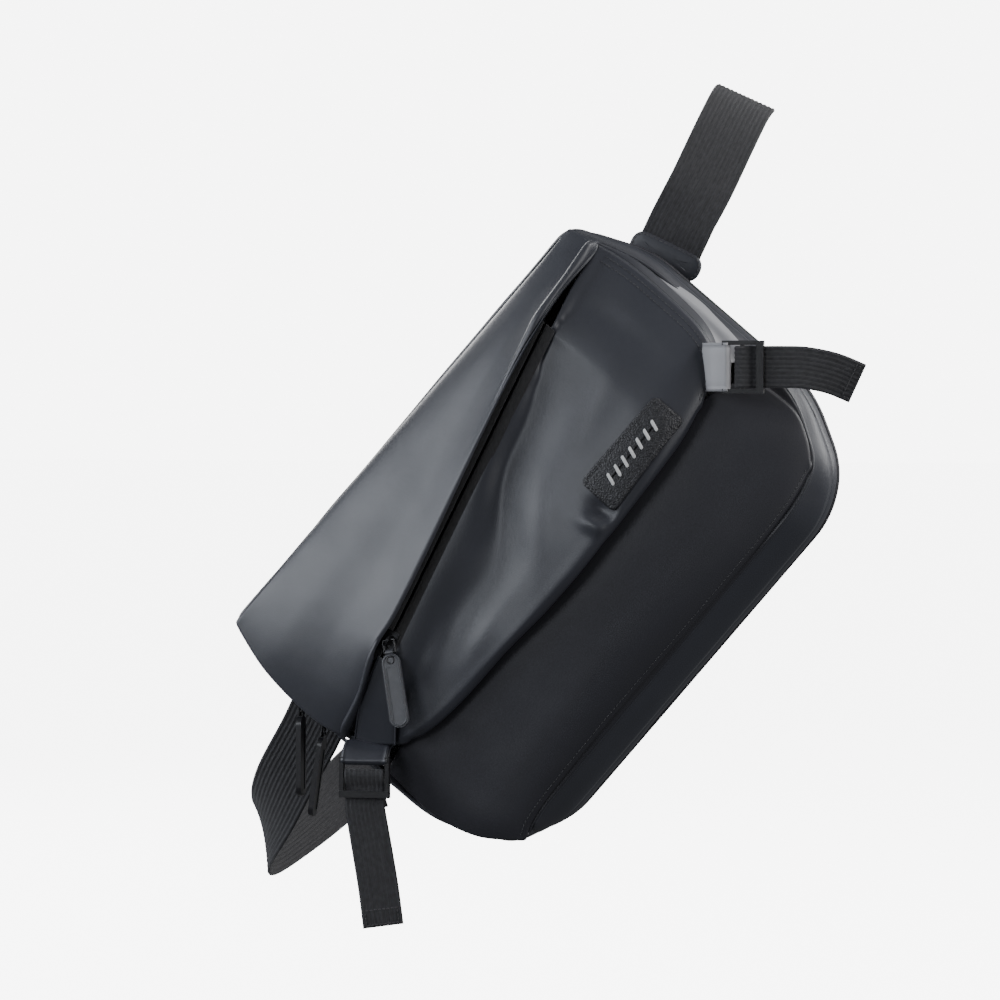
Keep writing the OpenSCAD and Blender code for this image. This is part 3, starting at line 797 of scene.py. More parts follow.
# ---- middle panel: the puffed pocket front ----
zip_side = []
for i, p in enumerate(SEAM):
    below = (0, -2, 0) if i == 0 else (0.5, -4.6, 0.2)
    if i >= len(SEAM) - 2:
        below = (0, 0.5, 0.6)
    zip_side.append(p + Vector(below))
MID_LEFT = [LEFT_MID[0], LEFT_MID[1], zip_side[0]]
MID_RIGHT = RIGHT_MID[:5] + [zip_side[-1]]
VALLEY = [
    (-165, 8, 1), (-128, 4, 3), (-100, 2, 5), (-70, 4, 6.5), (-40, 10, 7.5), (-12, 22, 8),
    (12, 36, 7.5), (40, 52, 6), (75, 67, 4), (110, 77, 2.5), (165, 88, 0.5),
]
VALLEY_EDGE = 24
RIPPLE = 3.5
RIPPLE_WAVE = 12.5
SEAM_SLOPE = 0.252
SEAM_CLEAR = 6
valley_line = [spline(VALLEY, i / 300) for i in range(301)]
# Soft folds: place along, place across, half-width along and across its own line, turn and height
FOLDS = [
    (37, -19, 4, 9, 14, 3.6), (47, -17, 4.5, 9, 10, -3.6), (-104, 10, 24, 5, 16, -1.2),
    (-50, -8, 26, 6, 6, 1.2), (92, 30, 34, 12, 14, 1.2), (134, 44, 9, 30, 4, -1.0),
    (18, 8, 24, 10, 40, 1.4),
]
MID_FULL = 4


def fullness(t):
    """How far the panel bulges, from its free edge to the zip."""
    if t < 0.3:
        return 1 - (1 - t / 0.3) ** 2
    return math.cos(math.pi * (t - 0.3) / 1.4) ** 2


def along_line(line, u):
    """A line's other values at a place along the bag."""
    for a, b in zip(line, line[1:]):
        if u <= b[0]:
            return a.lerp(b, max(0.0, (u - a[0]) / (b[0] - a[0])))
    return line[-1]


def valley_depth(u, v):
    """The hollow between the flap and the full part of the middle panel."""
    _, bottom, depth = along_line(valley_line, u)
    bottom += RIPPLE * math.sin(u / RIPPLE_WAVE)
    zip_v = SEAM_FROM[1] + (u - SEAM_FROM[0]) * SEAM_SLOPE - SEAM_CLEAR
    if v < bottom:
        return depth * math.exp(-(((bottom - v) / VALLEY_EDGE) ** 2))
    share = min(1.0, max(0.0, (zip_v - v) / max(6.0, zip_v - bottom)))
    return depth * share * share * (3 - 2 * share)


def fold_height(u, v):
    height = 0
    for at_u, at_v, long_way, short_way, turn, lift in FOLDS:
        turn = math.radians(turn)
        x = (u - at_u) * math.cos(turn) + (v - at_v) * math.sin(turn)
        y = (v - at_v) * math.cos(turn) - (u - at_u) * math.sin(turn)
        height += lift * math.exp(-((x / long_way) ** 2) - (y / short_way) ** 2)
    return height


def mid_face(s, t):
    p = patch(LIP, zip_side, MID_LEFT, MID_RIGHT, s, t)
    p[2] += MID_FULL * dome(s**1.8) * fullness(t)
    edge = min(1.0, 12 * t, 12 * s, 12 * (1 - s))
    p[2] += fold_height(p[0], p[1]) * edge - valley_depth(p[0], p[1])
    return p


lip_line = sample(LIP, 120)
right_line = sample(RIGHT_MID, 80)
mid_sides = {
    "low": (4.5, shifted(lip_line, (0, 1.5, -9)), shifted(lip_line, (0, 5, -9))),
    "left": (2.5, rim_over, rim_under),
    "right": (2.4, shifted(right_line, (1.5, -0.5, -5)), shifted(right_line, (-2, 0, -6))),
}
middle_panel = rolled_sheet(
    "pocket_front", mid_face, 120, 50, mid_sides, PANEL_THICK, COATED, "front", "coated"
)
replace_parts(middle_panel, "middle_panel")

# ---- lower panel ----
def low_face(s, t):
    p = patch(CREASE, LOWER_TOP, LEFT_LOW, RIGHT_LOW, s, t)
    p[2] += 6 * dome(s) * dome(t)
    p[2] += bump_at(s, t, 0.7, 0.4, 0.2, 0.3, -0.9) + bump_at(s, t, 0.15, 0.5, 0.06, 0.3, -1.2)
    return p


low_sides = {side: (2.2, rim_over, rim_under) for side in ("low", "left", "right")}
# The lower panel is darker than the others by painted shade, not by its own colour.
lower_panel = rolled_sheet(
    "lower_front", low_face, 100, 40, low_sides, PANEL_THICK, COATED_DARK_PAINTED_SHADE, "front", "coated"
)
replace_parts(lower_panel, "lower_panel")

# ---- wall of the raised pocket, from behind its lip down to the lower panel ----
free_edge = [LEFT_MID[1]] + LIP + RIGHT_MID[1:]
pocket_top = [Vector((-168, 24, 66)), Vector((-166, 15, 64.5))] + shifted(free_edge, (0, 0, -5))
pocket_top.append(Vector((158, 103, 60)))
pocket_low = [Vector((-171.5, 22, 57))] + POCKET_FOOT + [Vector((161, 103, 53))]
POCKET_STEPS = 150
pocket_rings = []
for k in range(8):
    t = k / 7
    ring = []
    for i in range(POCKET_STEPS + 1):
        p = spline(pocket_top, i / POCKET_STEPS).lerp(spline(pocket_low, i / POCKET_STEPS), t)
        tuck = 1.5 * math.sin(math.pi * t)
        ring.append(p + Vector((0, tuck, 0.6 * noise.noise(p * 0.05))))
    pocket_rings.append(ring)
pocket_wall = loft("pocket_wall", pocket_rings, COATED, "front", "coated", closed=False, thick=1.4)
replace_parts(pocket_wall, "pocket_gusset")

# ---- patch over the slanted zip's lower end ----
GARAGE_LEFT = [(-168, 11, 69), (-141, 23.5, 83), (-112, 31, 90.5)]
GARAGE_RIGHT = [(-150, -10, 77), (-127, 7, 86.5), (-112, 27.5, 90.5)]


def garage(s, t):
    return spline(GARAGE_LEFT, t).lerp(spline(GARAGE_RIGHT, t), s) + Vector((0, 0, 1.6 * dome(s) * (1 - t)))


sheet("zip_garage", garage, 16, 24, 1.2, COATED, "front", "coated")
# The patch's edge cords are made lighter by a painted highlight along them.
for side, share in (("left", 0), ("right", 1)):
    edge = [bag(garage(share, k / 40)) for k in range(41)]
    tube(f"zip_garage_{side}_edge", edge, 0.6 * MM, COATED_PAINTED_LIGHT, "front", "coated")

# ---- rows of stitches beside the panels' seams ----
right_rows = [
    ([bag(mid_face(s, k / 120)) for k in range(6, 112)], OUT) for s in (0.966, 0.984)
]
stitches("middle_seam_stitches", right_rows, "front", pitch=2.8, length=2, radius=0.26)
crease_row = [bag(low_face(k / 200, 0.035)) for k in range(6, 195)]
stitches("lower_seam_stitches", [(crease_row, OUT)], "front", pitch=2.8, length=2, radius=0.26)

# ---- triangular gusset beside the raised pocket, made pale by a painted highlight ----
def side_gusset(s, t):
    inner = spline([(152, -7, 75), (162, 14, 72), (165.5, 40, 68.5), (163.5, 82, 60)], t)
    outer = spline([(172, -24, 60), (175, 6, 57), (175.5, 36, 55), (165.5, 83, 59)], t)
    lift = 1.2 * math.sin(9 * s + 3 * t) - 2.5 * math.sin(math.pi * s)
    return inner.lerp(outer, s) + Vector((0, 0, lift))


sheet("side_gusset", side_gusset, 14, 24, 1.2, COATED_PAINTED_HIGHLIGHT, "front", "coated_light")

# ---- walls round the bag ----
base_corners = rounded([(u, v, 46) for u, v, _ in OUTLINE], OUTLINE_ROUND, 8)
rim_corners = rounded(RIM, RIM_ROUND, 8)
base_ring = []
rim_ring = []
for k, here in enumerate(base_corners):
    m = (k + 1) % len(base_corners)
    steps = max(1, round((base_corners[m] - here).length / 4))
    for j in range(steps):
        base_ring.append(here.lerp(base_corners[m], j / steps))
        rim_ring.append(rim_corners[k].lerp(rim_corners[m], j / steps))
gusset_out = outward_of(base_ring)
gusset_rings = []
for k in range(9):
    t = k / 8
    ring = []
    for low, high, out in zip(base_ring, rim_ring, gusset_out):
        p = low.lerp(high, t)
        swell = 1.6 + 1.1 * noise.noise(Vector((p[0], p[1], 9)) * 0.022)
        ring.append(p + out * swell * math.sin(math.pi * t))
    gusset_rings.append(ring)
front_gusset = loft("front_gusset_wall", gusset_rings, COATED, "front", "coated", thick=1.5)
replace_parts(front_gusset, "front_gusset")

ZIP_END_V = -72


def zipped(p):
    return p[1] > ZIP_END_V


def sewn(p):
    return p[1] < ZIP_END_V + 4


rear_profile = [(-0.4, PAD), (0.1, PAD + 1.5), (0.4, PAD + 6), (0.6, 19), (0.4, 25), (0, 28.5), (-0.4, 30)]
rear_gusset = wall(
    "rear_gusset_wall", outline_loop, rear_profile, COATED, "back", "coated", puff=0.8, crumple=0.8
)
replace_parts(thicken(rear_gusset, 1.5), "rear_gusset")
sewn_profile = [(-0.2, 29), (0.2, 31), (0.4, 34), (0.4, 38), (0.4, 42), (0.2, 45), (-0.2, 47)]
sewn_bottom = wall(
    "sewn_bottom", outline_loop, sewn_profile, COATED, None, "coated", keep=sewn, crumple=0.5
)
bake(thicken(sewn_bottom, 1.4))
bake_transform(sewn_bottom)
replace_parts(sewn_bottom, "bottom_strip")
tape_rear_profile = [(-1.2, 28.5), (-0.6, 30), (-0.5, 33), (-0.5, ZIP_W - SLIT / 2)]
tape_front_profile = [(-0.5, ZIP_W + SLIT / 2), (-0.5, 43), (-0.6, 46), (-1.2, 47.5)]
tape_rear = wall("main_tape_rear", outline_loop, tape_rear_profile, TAPE, "back", "zip", keep=zipped)
tape_front = wall("main_tape_front", outline_loop, tape_front_profile, TAPE, "front", "zip", keep=zipped)
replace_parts(thicken(tape_rear, 0.8), "main_zip_rear")
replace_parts(thicken(tape_front, 0.8), "main_zip_front")

fine_loop = evenly(rounded(OUTLINE, OUTLINE_ROUND), 520)
fine_out = outward_of(fine_loop)
start = next(k for k in range(len(fine_loop)) if zipped(fine_loop[k]) and not zipped(fine_loop[k - 1]))
coil_path = []
for k in range(len(fine_loop)):
    n = (start + k) % len(fine_loop)
    if zipped(fine_loop[n]):
        coil_path.append(fine_loop[n] + fine_out[n] * -1.9)
for side, body, node in ((-1, "back", "main_coil_rear"), (1, "front", "main_coil_front")):
    line = shifted(coil_path, (0, 0, ZIP_W + side * 1.0))
    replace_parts(coil(node + "_teeth", line, body), node)

# ---- slanted zip under the flap ----
for side, node in ((1, "front_zip_upper"), (-1, "front_zip_lower")):
    rings = []
    for across in (SLIT / 2, 2.5, 5, 8):
        rings.append(shifted(sample(SEAM_RUN, 80), (0, side * across, -0.1 if across < 6 else -0.6)))
    tape = loft(node + "_tape", rings, TAPE, "front", "zip", closed=False, thick=0.7)
    if side > 0:
        tape.modifiers["thickness"].offset = 1
    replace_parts(tape, node)
    coil(node + "_teeth", shifted(sample(SEAM_RUN, 80), (0, side * 1.1, -1.6)), "front")

# ---- piping and seams ----
rear_edge = [bag(p + Vector((0, 0, PAD - 0.8))) for p in outline_loop]
piping = tube("rear_piping_cord", rear_edge, 1.7 * MM, COATED_DARK_PAINTED_SHADE, "back", "coated", closed=True)
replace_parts(piping, "rear_piping")
front_edge = [bag(p + n * 1.2) for p, n in zip(rim_loop, rim_out)]
tube("rim_piping_cord", front_edge, 1.1 * MM, COATED, "front", "coated", closed=True)

# ---- straps' places, in millimetres in the row frame ----
def placed(u, v, w):
    return bag((u, v, w)) / MM


STRAP_DIR = Vector((0.435, 0, 0.9)).normalized()
STRAP_SKIN = Vector((0, STRAP_THICK / 2, 0))
upper_anchor = placed(178, 68, 4)
lower_anchor = placed(-178, 52, 4)
STRAP_ROUTE = [
    upper_anchor + STRAP_DIR * 3.5 + STRAP_SKIN, upper_anchor + STRAP_DIR * 23 + STRAP_SKIN,
    (-17, -62, -57), (-6, -45, -27), (0, -22, -6), (0, 0, 0), (-7, 26, -2), (-18, 56, -11),
    (-34, 86, -30), (-54, 116, -60), (-80, 141, -104), (-108, 158, -164), (-138, 168, -226),
    (-172, 172, -290),
]
STRAP_SIDES = [
    (0.9, 0, -0.435), (0.9, 0, -0.435), (0.905, 0.1, -0.42), (0.9, 0.12, -0.43), (0.9, 0.08, -0.44),
    (0.9, 0.05, -0.42), (0.92, 0.1, -0.36), (0.93, 0.2, -0.26), (0.9, 0.3, -0.22), (0.87, 0.3, -0.3),
    (0.86, 0.18, -0.42), (0.86, 0.08, -0.48), (0.87, 0.02, -0.48), (0.883, 0, -0.469),
]
strap_front = (Vector(STRAP_ROUTE[-1]) - Vector(STRAP_ROUTE[-2])).normalized()
strap_across = Vector((0, 1, 0)).cross(strap_front).normalized()
strap_inward = strap_across.cross(strap_front)
strap_buckle_at = Vector(STRAP_ROUTE[-1]) + strap_front * 5.5 - strap_inward * STRAP_THICK / 2


def from_buckle(x, y):
    return strap_buckle_at + strap_front * x + strap_inward * y


LOWER_ROUTE = [
    from_buckle(21, 5.4), from_buckle(28, 5.5), from_buckle(37, 6), (-219, 165, -364),
    (-252, 151, -406), (-286, 118, -446), (-308, 70, -474), (-315, 18, -484), (-308, -28, -470),
    (-289, -58, -437), lower_anchor - STRAP_DIR * 23 + STRAP_SKIN,
    lower_anchor - STRAP_DIR * 3.5 + STRAP_SKIN,
]
LOWER_SIDES = [
    -strap_across, -strap_across, -strap_across, (0.8, -0.05, -0.6), (0.7, -0.1, -0.7), (0.45, -0.1, -0.9),
    (0.12, -0.05, -1), (0, 0, -1), (0.25, 0, -0.95), (0.7, 0, -0.6), (0.9, 0, -0.435), (0.9, 0, -0.435),
]
left_bar = placed(-169, -2.2, 80)
right_bar = placed(159.2, -16.6, 87.5)


def at_left(p):
    return row(left_bar + Vector((p[2], p[1], -p[0])))


def at_right(p):
    return row(right_bar + Vector(p))


def at_strap_buckle(p):
    return row(strap_buckle_at + strap_front * p[0] + strap_inward * p[1] + strap_across * p[2])


def at_anchor(anchor, ahead):
    across = OUT.cross(ahead)

    def place(p):
        return row(anchor + ahead * p[0] + across * p[1] + OUT * p[2])

    return place


# ---- straps ----
strap = ribbon("strap_upper_webbing", STRAP_ROUTE, STRAP_SIDES, STRAP_WIDTH, STRAP_THICK, 170, "back")
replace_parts(strap, "strap_webbing")
lower_strap = ribbon("strap_lower_run", LOWER_ROUTE, LOWER_SIDES, STRAP_WIDTH, STRAP_THICK, 130, None)
bend_start, bend_end = row(from_buckle(24, 5.4)), row(from_buckle(130, 5.4))
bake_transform(lower_strap)
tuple(bend_start)
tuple(bend_end)
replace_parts(lower_strap, "strap_lower_webbing")


def loop_over_bar(name, place, width, thick, reach, body, material, slot, ribs, sink=0.0):
    """A strip that goes from behind round a bar at the origin and back to the front.

    sink is how far its two ends lie back from the bar.
    """
    r = 1.9
    path = [(-reach, r + sink, 0), (-reach * 0.5, r + sink * 0.35, 0), (0, r, 0)]
    for k in range(1, 8):
        turn = math.pi * k / 8
        path.append((r * math.sin(turn), r * math.cos(turn), 0))
    path += [(0, -r, 0), (-reach * 0.5, sink * 0.35 - r, 0), (-reach, sink - r, 0)]
    sides = [(0, 0, 1)] * len(path)
    return ribbon(name, path, sides, width, thick, 60, body, ribs, material, slot, place)


def threaded(name, place, length, width, thick, body, ribs):
    """The strap round a ladder buckle's middle bar, out under its end bar."""
    x = length * MID_BAR
    r = 1.65 + thick
    end = length - 2
    path = [
        (x + 1.5, r, 0), (x - 1, r, 0), (x - 1.3 * r, 0.7 * r, 0), (x - 1.5 * r, 0, 0),
        (x - 1.3 * r, -0.7 * r, 0), (x - 1, -r, 0), (x + 0.75 * r, -0.75 * r, 0),
        (end - 6, -0.25, 0), (end, -0.25, 0),
    ]
    return ribbon(name, path, [(0, 0, 1)] * len(path), width, thick, 60, body, ribs, place=place)


def side_web(name, place, drop, body):
    x = BUCKLE_LEN * MID_BAR + 4.5
    path = [(x, 2.2, 0), (x + 5, 2.4, 0), (x + 10, 3.5, 0), (x + 15, 2.4 + drop, 0)]
    return ribbon(name, path, [(0, 0, 1)] * 4, WEB_WIDTH, WEB_THICK, 24, body, ribs=9, place=place)


STITCH_LIFT = -0.7


def box_stitch(name, place, path, sides, width, start, end, body):
    """A sewn box near a strap's end, on its outer face. start and end are shares of its length."""
    half = width / 2 - 2.5

    def at(share, z):
        side, up = strap_axes(path, sides, share)
        return place(spline(path, share) + side * z + up * STITCH_LIFT)

    corners = [(start, -half), (start, half), (end, half), (end, -half), (start, -half)]
    run = []
    for (a, low), (b, high) in zip(corners, corners[1:]):
        run += [at(a + (b - a) * k / 12, low + (high - low) * k / 12) for k in range(12)]
    out = (place(Vector((0, -1, 0))) - place(Vector((0, 0, 0)))).normalized()
    return stitches(name, [(run + [run[0]], out)], body, pitch=2.6, length=1.9, radius=0.3)


# The right tab is made pale by a painted highlight; the left tab has the plain fabric.
for side, place, drop, reach, material, slot in (
    ("left", at_left, 6, 11, COATED, "coated"),
    ("right", at_right, 8, 15, COATED_PAINTED_HIGHLIGHT, "coated_light"),
):
    tab = loop_over_bar(
        f"tab_{side}_fold", place, WEB_WIDTH + 4, 1.5, reach, "front", material, slot, 0, 11
    )
    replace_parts(tab, f"tab_{side}")
    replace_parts(side_web(f"side_web_{side}_run", place, drop, "front"), f"side_web_{side}")
    wound = threaded(f"threading_{side}_wrap", place, BUCKLE_LEN, WEB_WIDTH, WEB_THICK, f"buckle_{side}", 9)
    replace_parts(wound, f"threading_{side}")

TAIL_X = BUCKLE_LEN - 1.5
LEFT_TAIL = [(0, 0, 0), (5, 0, 0), (15, 0.5, 1.5), (30, 0.6, 4.2), (54, 0, 8.5), (78, -1, 12)]
RIGHT_TAIL = [(0, 0, 0), (10, 0.3, 0), (24, 1.5, -0.5), (40, 5, -4), (54, 10, -10)]
LEFT_TAIL_SIDES = [(0, 0.035 * i, 1) for i in range(6)]
RIGHT_TAIL_SIDES = [(0, 0, 1), (0, 0, 1), (0, 0, 1), (0.15, -0.1, 1), (0.3, -0.15, 1)]
for side, place, fall, sides in (
    ("left", at_left, LEFT_TAIL, LEFT_TAIL_SIDES),
    ("right", at_right, RIGHT_TAIL, RIGHT_TAIL_SIDES),
):
    path = shifted(fall, (TAIL_X, -0.25, 0))
    tail = ribbon(
        f"tail_{side}_webbing", path, sides, WEB_WIDTH, WEB_THICK, 70, f"tail_{side}",
        ribs=9, place=place, hem=9,
    )
    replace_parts(tail, f"tail_{side}")
    box_stitch(f"tail_{side}_stitches", place, path, sides, WEB_WIDTH, 0.9, 0.98, f"tail_{side}")

loop = loop_over_bar(
    "strap_loop_fold", at_strap_buckle, STRAP_WIDTH, STRAP_THICK, 4.6, "back", WEBBING, "webbing", 14
)
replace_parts(loop, "strap_loop")
wound = threaded(
    "strap_threading_wrap", at_strap_buckle, STRAP_BUCKLE_LEN, STRAP_WIDTH, STRAP_THICK, "buckle_strap", 14
)
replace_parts(wound, "strap_threading")
STRAP_TAIL = [(0, 0, 0), (9, 0, 0), (42, -1.5, 0), (86, -0.5, 0), (126, 2.5, 0)]
path = shifted(STRAP_TAIL, (STRAP_BUCKLE_LEN - 1.5, -0.25, 0))
sides = [(0, 0, 1)] * len(path)
strap_tail = ribbon(
    "strap_tail_webbing", path, sides, STRAP_WIDTH, STRAP_THICK, 80, "tail_strap",
    place=at_strap_buckle, hem=14,
)
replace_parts(strap_tail, "strap_tail")
box_stitch("strap_tail_stitches", at_strap_buckle, path, sides, STRAP_WIDTH, 0.9, 0.98, "tail_strap")


# ---- sewn tabs that hold the strap ----
def anchor_outline(inset):
    return rounded_box(18, STRAP_WIDTH + 8, 8, inset)


ANCHOR_RINGS = [
    (8, -2.5), (4, -2.4), (2.2, -1.9), (1.2, -1.9), (0.3, -1.3), (0, -0.5), (0, 0.5), (0.3, 1.3),
    (1.2, 1.9), (2.2, 1.9), (4, 2.4), (8, 2.5),
]
for name, anchor, ahead in (("upper", upper_anchor, STRAP_DIR), ("lower", lower_anchor, -STRAP_DIR)):
    place = at_anchor(anchor, ahead)
    tab = slab(f"anchor_{name}_patch", anchor_outline, ANCHOR_RINGS, place, COATED, "back", "coated")
    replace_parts(subdivide(tab), f"strap_anchor_{name}")
    edge = anchor_outline(1.7)
    edge.append(edge[0])
    for face, looks in ((1, "front"), (-1, "back")):
        line = [place(Vector((x, y, face * 1.9))) for x, y in edge]
        stitches(f"anchor_{name}_stitches_{looks}", [(line, OUT * face)], "back")

# ---- buckles, sliders, links and pulls keep their CAD shapes, with softened edges ----
def finish_node(node, material, radius, segments=3):
    piece = nodes[node]
    piece.data.materials.clear()
    piece.data.materials.append(material)
    soft = piece.modifiers.new("soft_edges", "BEVEL")
    soft.width = radius * MM
    soft.segments = segments
    soft.limit_method = "ANGLE"
    soft.angle_limit = math.radians(35)
    soft.harden_normals = False
    return piece


for node in ("buckle_left", "buckle_right", "strap_buckle"):
    finish_node(node, PLASTIC, 0.5)
for node in ("main_slider_a", "main_slider_b", "front_slider"):
    finish_node(node, METAL, 0.25)
for node in ("main_link_a", "main_link_b", "front_link"):
    finish_node(node, METAL, 0.1, 1)
finish_node("front_pull", RUBBER, 0.4)
finish_node("main_pull_a", RUBBER_DARK, 0.4)
finish_node("main_pull_b", RUBBER_DARK, 0.4)
finish_node("back_board", LINING, 0.3)

# ---- the slanted zip's pull has a raised rim and an eyelet ----
pull_turn = Matrix.Rotation(math.radians(-10), 3, "Y") @ Matrix.Rotation(math.radians(-5), 3, "X")
PIVOT_RISE = 5
front_pivot = placed(*(SEAM_FROM + Vector((0, 0, PIVOT_RISE))))
PULL_TOP = -14.1
PULL_FOOT = -47.5
PULL_FACE = -1.15
RIM_RADIUS = 4.9
EYELET_AT = -12.2
EYELET_RADIUS = 2.2


def at_front_pull(p):
    return row(front_pivot + pull_turn @ Vector(p))


def pull_arc(centre, radius, first, count):
    """Points 15 degrees apart round a place on the pull's face."""
    arc = []
    for k in range(count):
        turn = math.radians(first + 15 * k)
        spot = (radius * math.cos(turn), PULL_FACE, centre + radius * math.sin(turn))
        arc.append(at_front_pull(spot))
    return arc


rim_path = pull_arc(PULL_TOP, RIM_RADIUS, 0, 13) + pull_arc(PULL_FOOT, RIM_RADIUS, 180, 13)
tube("front_pull_rim", rim_path, 0.6 * MM, RUBBER, "pull_front", "pull", closed=True)
eyelet = pull_arc(EYELET_AT, EYELET_RADIUS, 0, 24)
tube("front_pull_eyelet", eyelet, 0.55 * MM, METAL, "pull_front", "slider", closed=True)

# ---- label: a grained patch with a stitched border and a plain mark ----
LABEL_LOW = (Vector((51, -23.5)), Vector((119, -18.5)))
LABEL_HIGH = (Vector((51, 4)), Vector((119, 4)))
LABEL_WIDE = 34
LABEL_TALL = 14


def share_at(place):
    """The shares s and t at which the middle panel passes over a place, by small corrections."""
    s, t = 0.7, 0.2
    for _ in range(14):
        p = mid_face(s, t)
        s += (place[0] - p[0]) / 290
        t += (place[1] - p[1]) / 110
    return s, t


def label_point(x, y, height):
    """A point on the patch: x and y run from -1 to 1 along and up it."""
    low = LABEL_LOW[0].lerp(LABEL_LOW[1], (x + 1) / 2)
    high = LABEL_HIGH[0].lerp(LABEL_HIGH[1], (x + 1) / 2)
    s, t = share_at(low.lerp(high, (y + 1) / 2))
    step = 0.01
    along = mid_face(s + step, t) - mid_face(s - step, t)
    up = mid_face(s, t + step) - mid_face(s, t - step)
    return mid_face(s, t) + height * along.cross(up).normalized()


def label_ring(inset, height):
    edge = rounded_box(2 * LABEL_WIDE, 2 * LABEL_TALL, 4, inset, 5)
    ring = []
    for k, (x, y) in enumerate(edge):
        m = (k + 1) % len(edge)
        steps = 14 if k % 6 == 5 else 1
        for j in range(steps):
            a = x + (edge[m][0] - x) * j / steps
            b = y + (edge[m][1] - y) * j / steps
            ring.append(label_point(a / LABEL_WIDE, b / LABEL_TALL, height))
    return ring


LABEL_RINGS = [
    (1, 0.1), (0, 0.4), (0, 1.3), (0.5, 1.75), (1.6, 1.9), (2.6, 1.7), (3.6, 1.9), (7, 2.0),
    (10, 2.1), (13.5, 2.1),
]
label_rings = [label_ring(inset, height) for inset, height in LABEL_RINGS]
label = loft("label_patch_leather", label_rings, LEATHER, "front", "patch")
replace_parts(label, "label_patch")
label_out = (label_point(0, 0, 1) - label_point(0, 0, 0)).normalized()
label_out = (bag(label_out) - bag((0, 0, 0))).normalized()
border = [bag(p) for p in label_ring(2.6, 1.75)]
stitches("label_stitches", [(border + [border[0]], label_out)], "front", pitch=2.4, length=1.7, radius=0.28)

# A row of plain slanting strokes stands where a label has its mark
STROKES = 7
STROKE_PITCH = 0.2
mark_verts = []
mark_faces = []
for k in range(STROKES):
    middle = (k - (STROKES - 1) / 2) * STROKE_PITCH
    base = len(mark_verts)
    for height, inset in ((2.0, 0), (2.35, 0), (2.5, 0.35)):
        for x, y in rounded_box(2.1, 8, 1, inset, 3):
            lean = 0.3 * y
            mark_verts.append(bag(label_point(middle + (x + lean) / LABEL_WIDE, y / LABEL_TALL, height)))
    ring = (len(mark_verts) - base) // 3
    mark_faces += bands([base, base + ring, base + 2 * ring], ring)
    mark_faces.append(tuple(base + 2 * ring + j for j in range(ring)))
make("label_mark", mark_verts, mark_faces, MARK, "front", "patch")

# ---- inside: lining over the back of the front half, and a flat pocket on the board ----
LINING_INSET = 10
LINING_W = 47.5
lining_loop = evenly(rounded(OUTLINE, OUTLINE_ROUND), 120)
lining_rings = []
for k in range(15):
    share = 1 - 0.98 * k / 14
    ring = []
    for p in lining_loop:
        along = p[0] * share * (1 - LINING_INSET / HALF_LEN)
        across = p[1] * share * (1 - LINING_INSET / HALF_HEIGHT)
        ripple = 0.4 * noise.noise(Vector((along, across, 3)) * 0.03)
        ring.append(Vector((along, across, LINING_W + ripple)))
    lining_rings.append(ring)
lining = loft("front_lining_cloth", lining_rings, LINING, "front", "lining", thick=0.5, rounding=0)
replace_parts(lining, "front_lining")
lining_edge = [p * MM for p in lining_rings[0]]
lining_sides = zip(lining_edge, lining_edge[1:] + lining_edge[:1])
lining_area = abs(sum(a.x * b.y - b.x * a.y for a, b in lining_sides)) / 2

POCKET_HALF = (110, 60)
POCKET_BACK = 11.3
POCKET_DEEP = 6


def pocket_face(s, t):
    side = min(1, 10 * s, 10 * (1 - s)) ** 0.5
    foot = min(1, 6 * t) ** 0.5
    ripple = 0.5 * math.sin(26 * s) * t
    along = POCKET_HALF[0] * (2 * s - 1)
    across = POCKET_HALF[1] * (2 * t - 1)
    return Vector((along, across, POCKET_BACK + (POCKET_DEEP + ripple) * side * foot))


pocket = sheet("inner_pocket_cloth", pocket_face, 56, 30, 0.8, LINING, "back", "lining")
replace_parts(pocket, "inner_pocket")
pocket_hem = [bag(pocket_face(k / 60, 1) + Vector((0, 0, 0.2))) for k in range(61)]
pocket_rib = tube("inner_pocket_hem", pocket_hem, 1.2 * MM, TAPE, "back", "lining")
for t, name in ((0.96, "hem"), (0.93, "hem_lower")):
    line = [bag(pocket_face(k / 60, t)) for k in range(2, 59)]
    stitches(f"inner_pocket_{name}_stitches", [(line, OUT)], "back", pitch=3, length=2.2, radius=0.25)

# ---- back pad: foam under mesh cloth, blown up, then sewn down along its channels ----
PAD_INSET = 7
PAD_LOW = 2
PAD_HIGH = 7.6
PAD_SWELL = 2.6
CHANNEL_W = 3.2
CHANNEL_HALF = 4
pad_edge = [p - n * PAD_INSET for p, n in zip(outline_loop, outward_of(outline_loop))]
pad_profile = [(3, PAD_LOW), (0.8, PAD_LOW + 0.5), (0, PAD_LOW + 2), (0, PAD_HIGH - 1.5), (1.5, PAD_HIGH)]
pad_normals = outward_of(pad_edge)
pad_verts = []
for inset, w in pad_profile:
    for p, n in zip(pad_edge, pad_normals):
        pad_verts.append(bag(p - n * inset + Vector((0, 0, w))))
pad_faces = capped(len(pad_profile), len(pad_edge))
pad = make("back_pad", pad_verts, pad_faces, MESH_PAD, None, "pad")
blow_up(pad, 4.5, 4, PAD_SWELL)
bake(subdivide(pad))
channels = [
    [Vector((-140, 44, 0)), Vector((-60, 36, 0)), Vector((60, 36, 0)), Vector((140, 44, 0))],
    [Vector((-140, -48, 0)), Vector((-60, -38, 0)), Vector((60, -38, 0)), Vector((140, -48, 0))],
    [Vector((-70, 30, 0)), Vector((-55, 0, 0)), Vector((-70, -32, 0))],
    [Vector((70, 30, 0)), Vector((55, 0, 0)), Vector((70, -32, 0))],
]
channel_lines = [sample(line, 160) for line in channels]
sewn_points = [p for line in channel_lines for p in line]
tree = kdtree.KDTree(len(sewn_points))
for k, p in enumerate(sewn_points):
    tree.insert(p, k)
tree.balance()
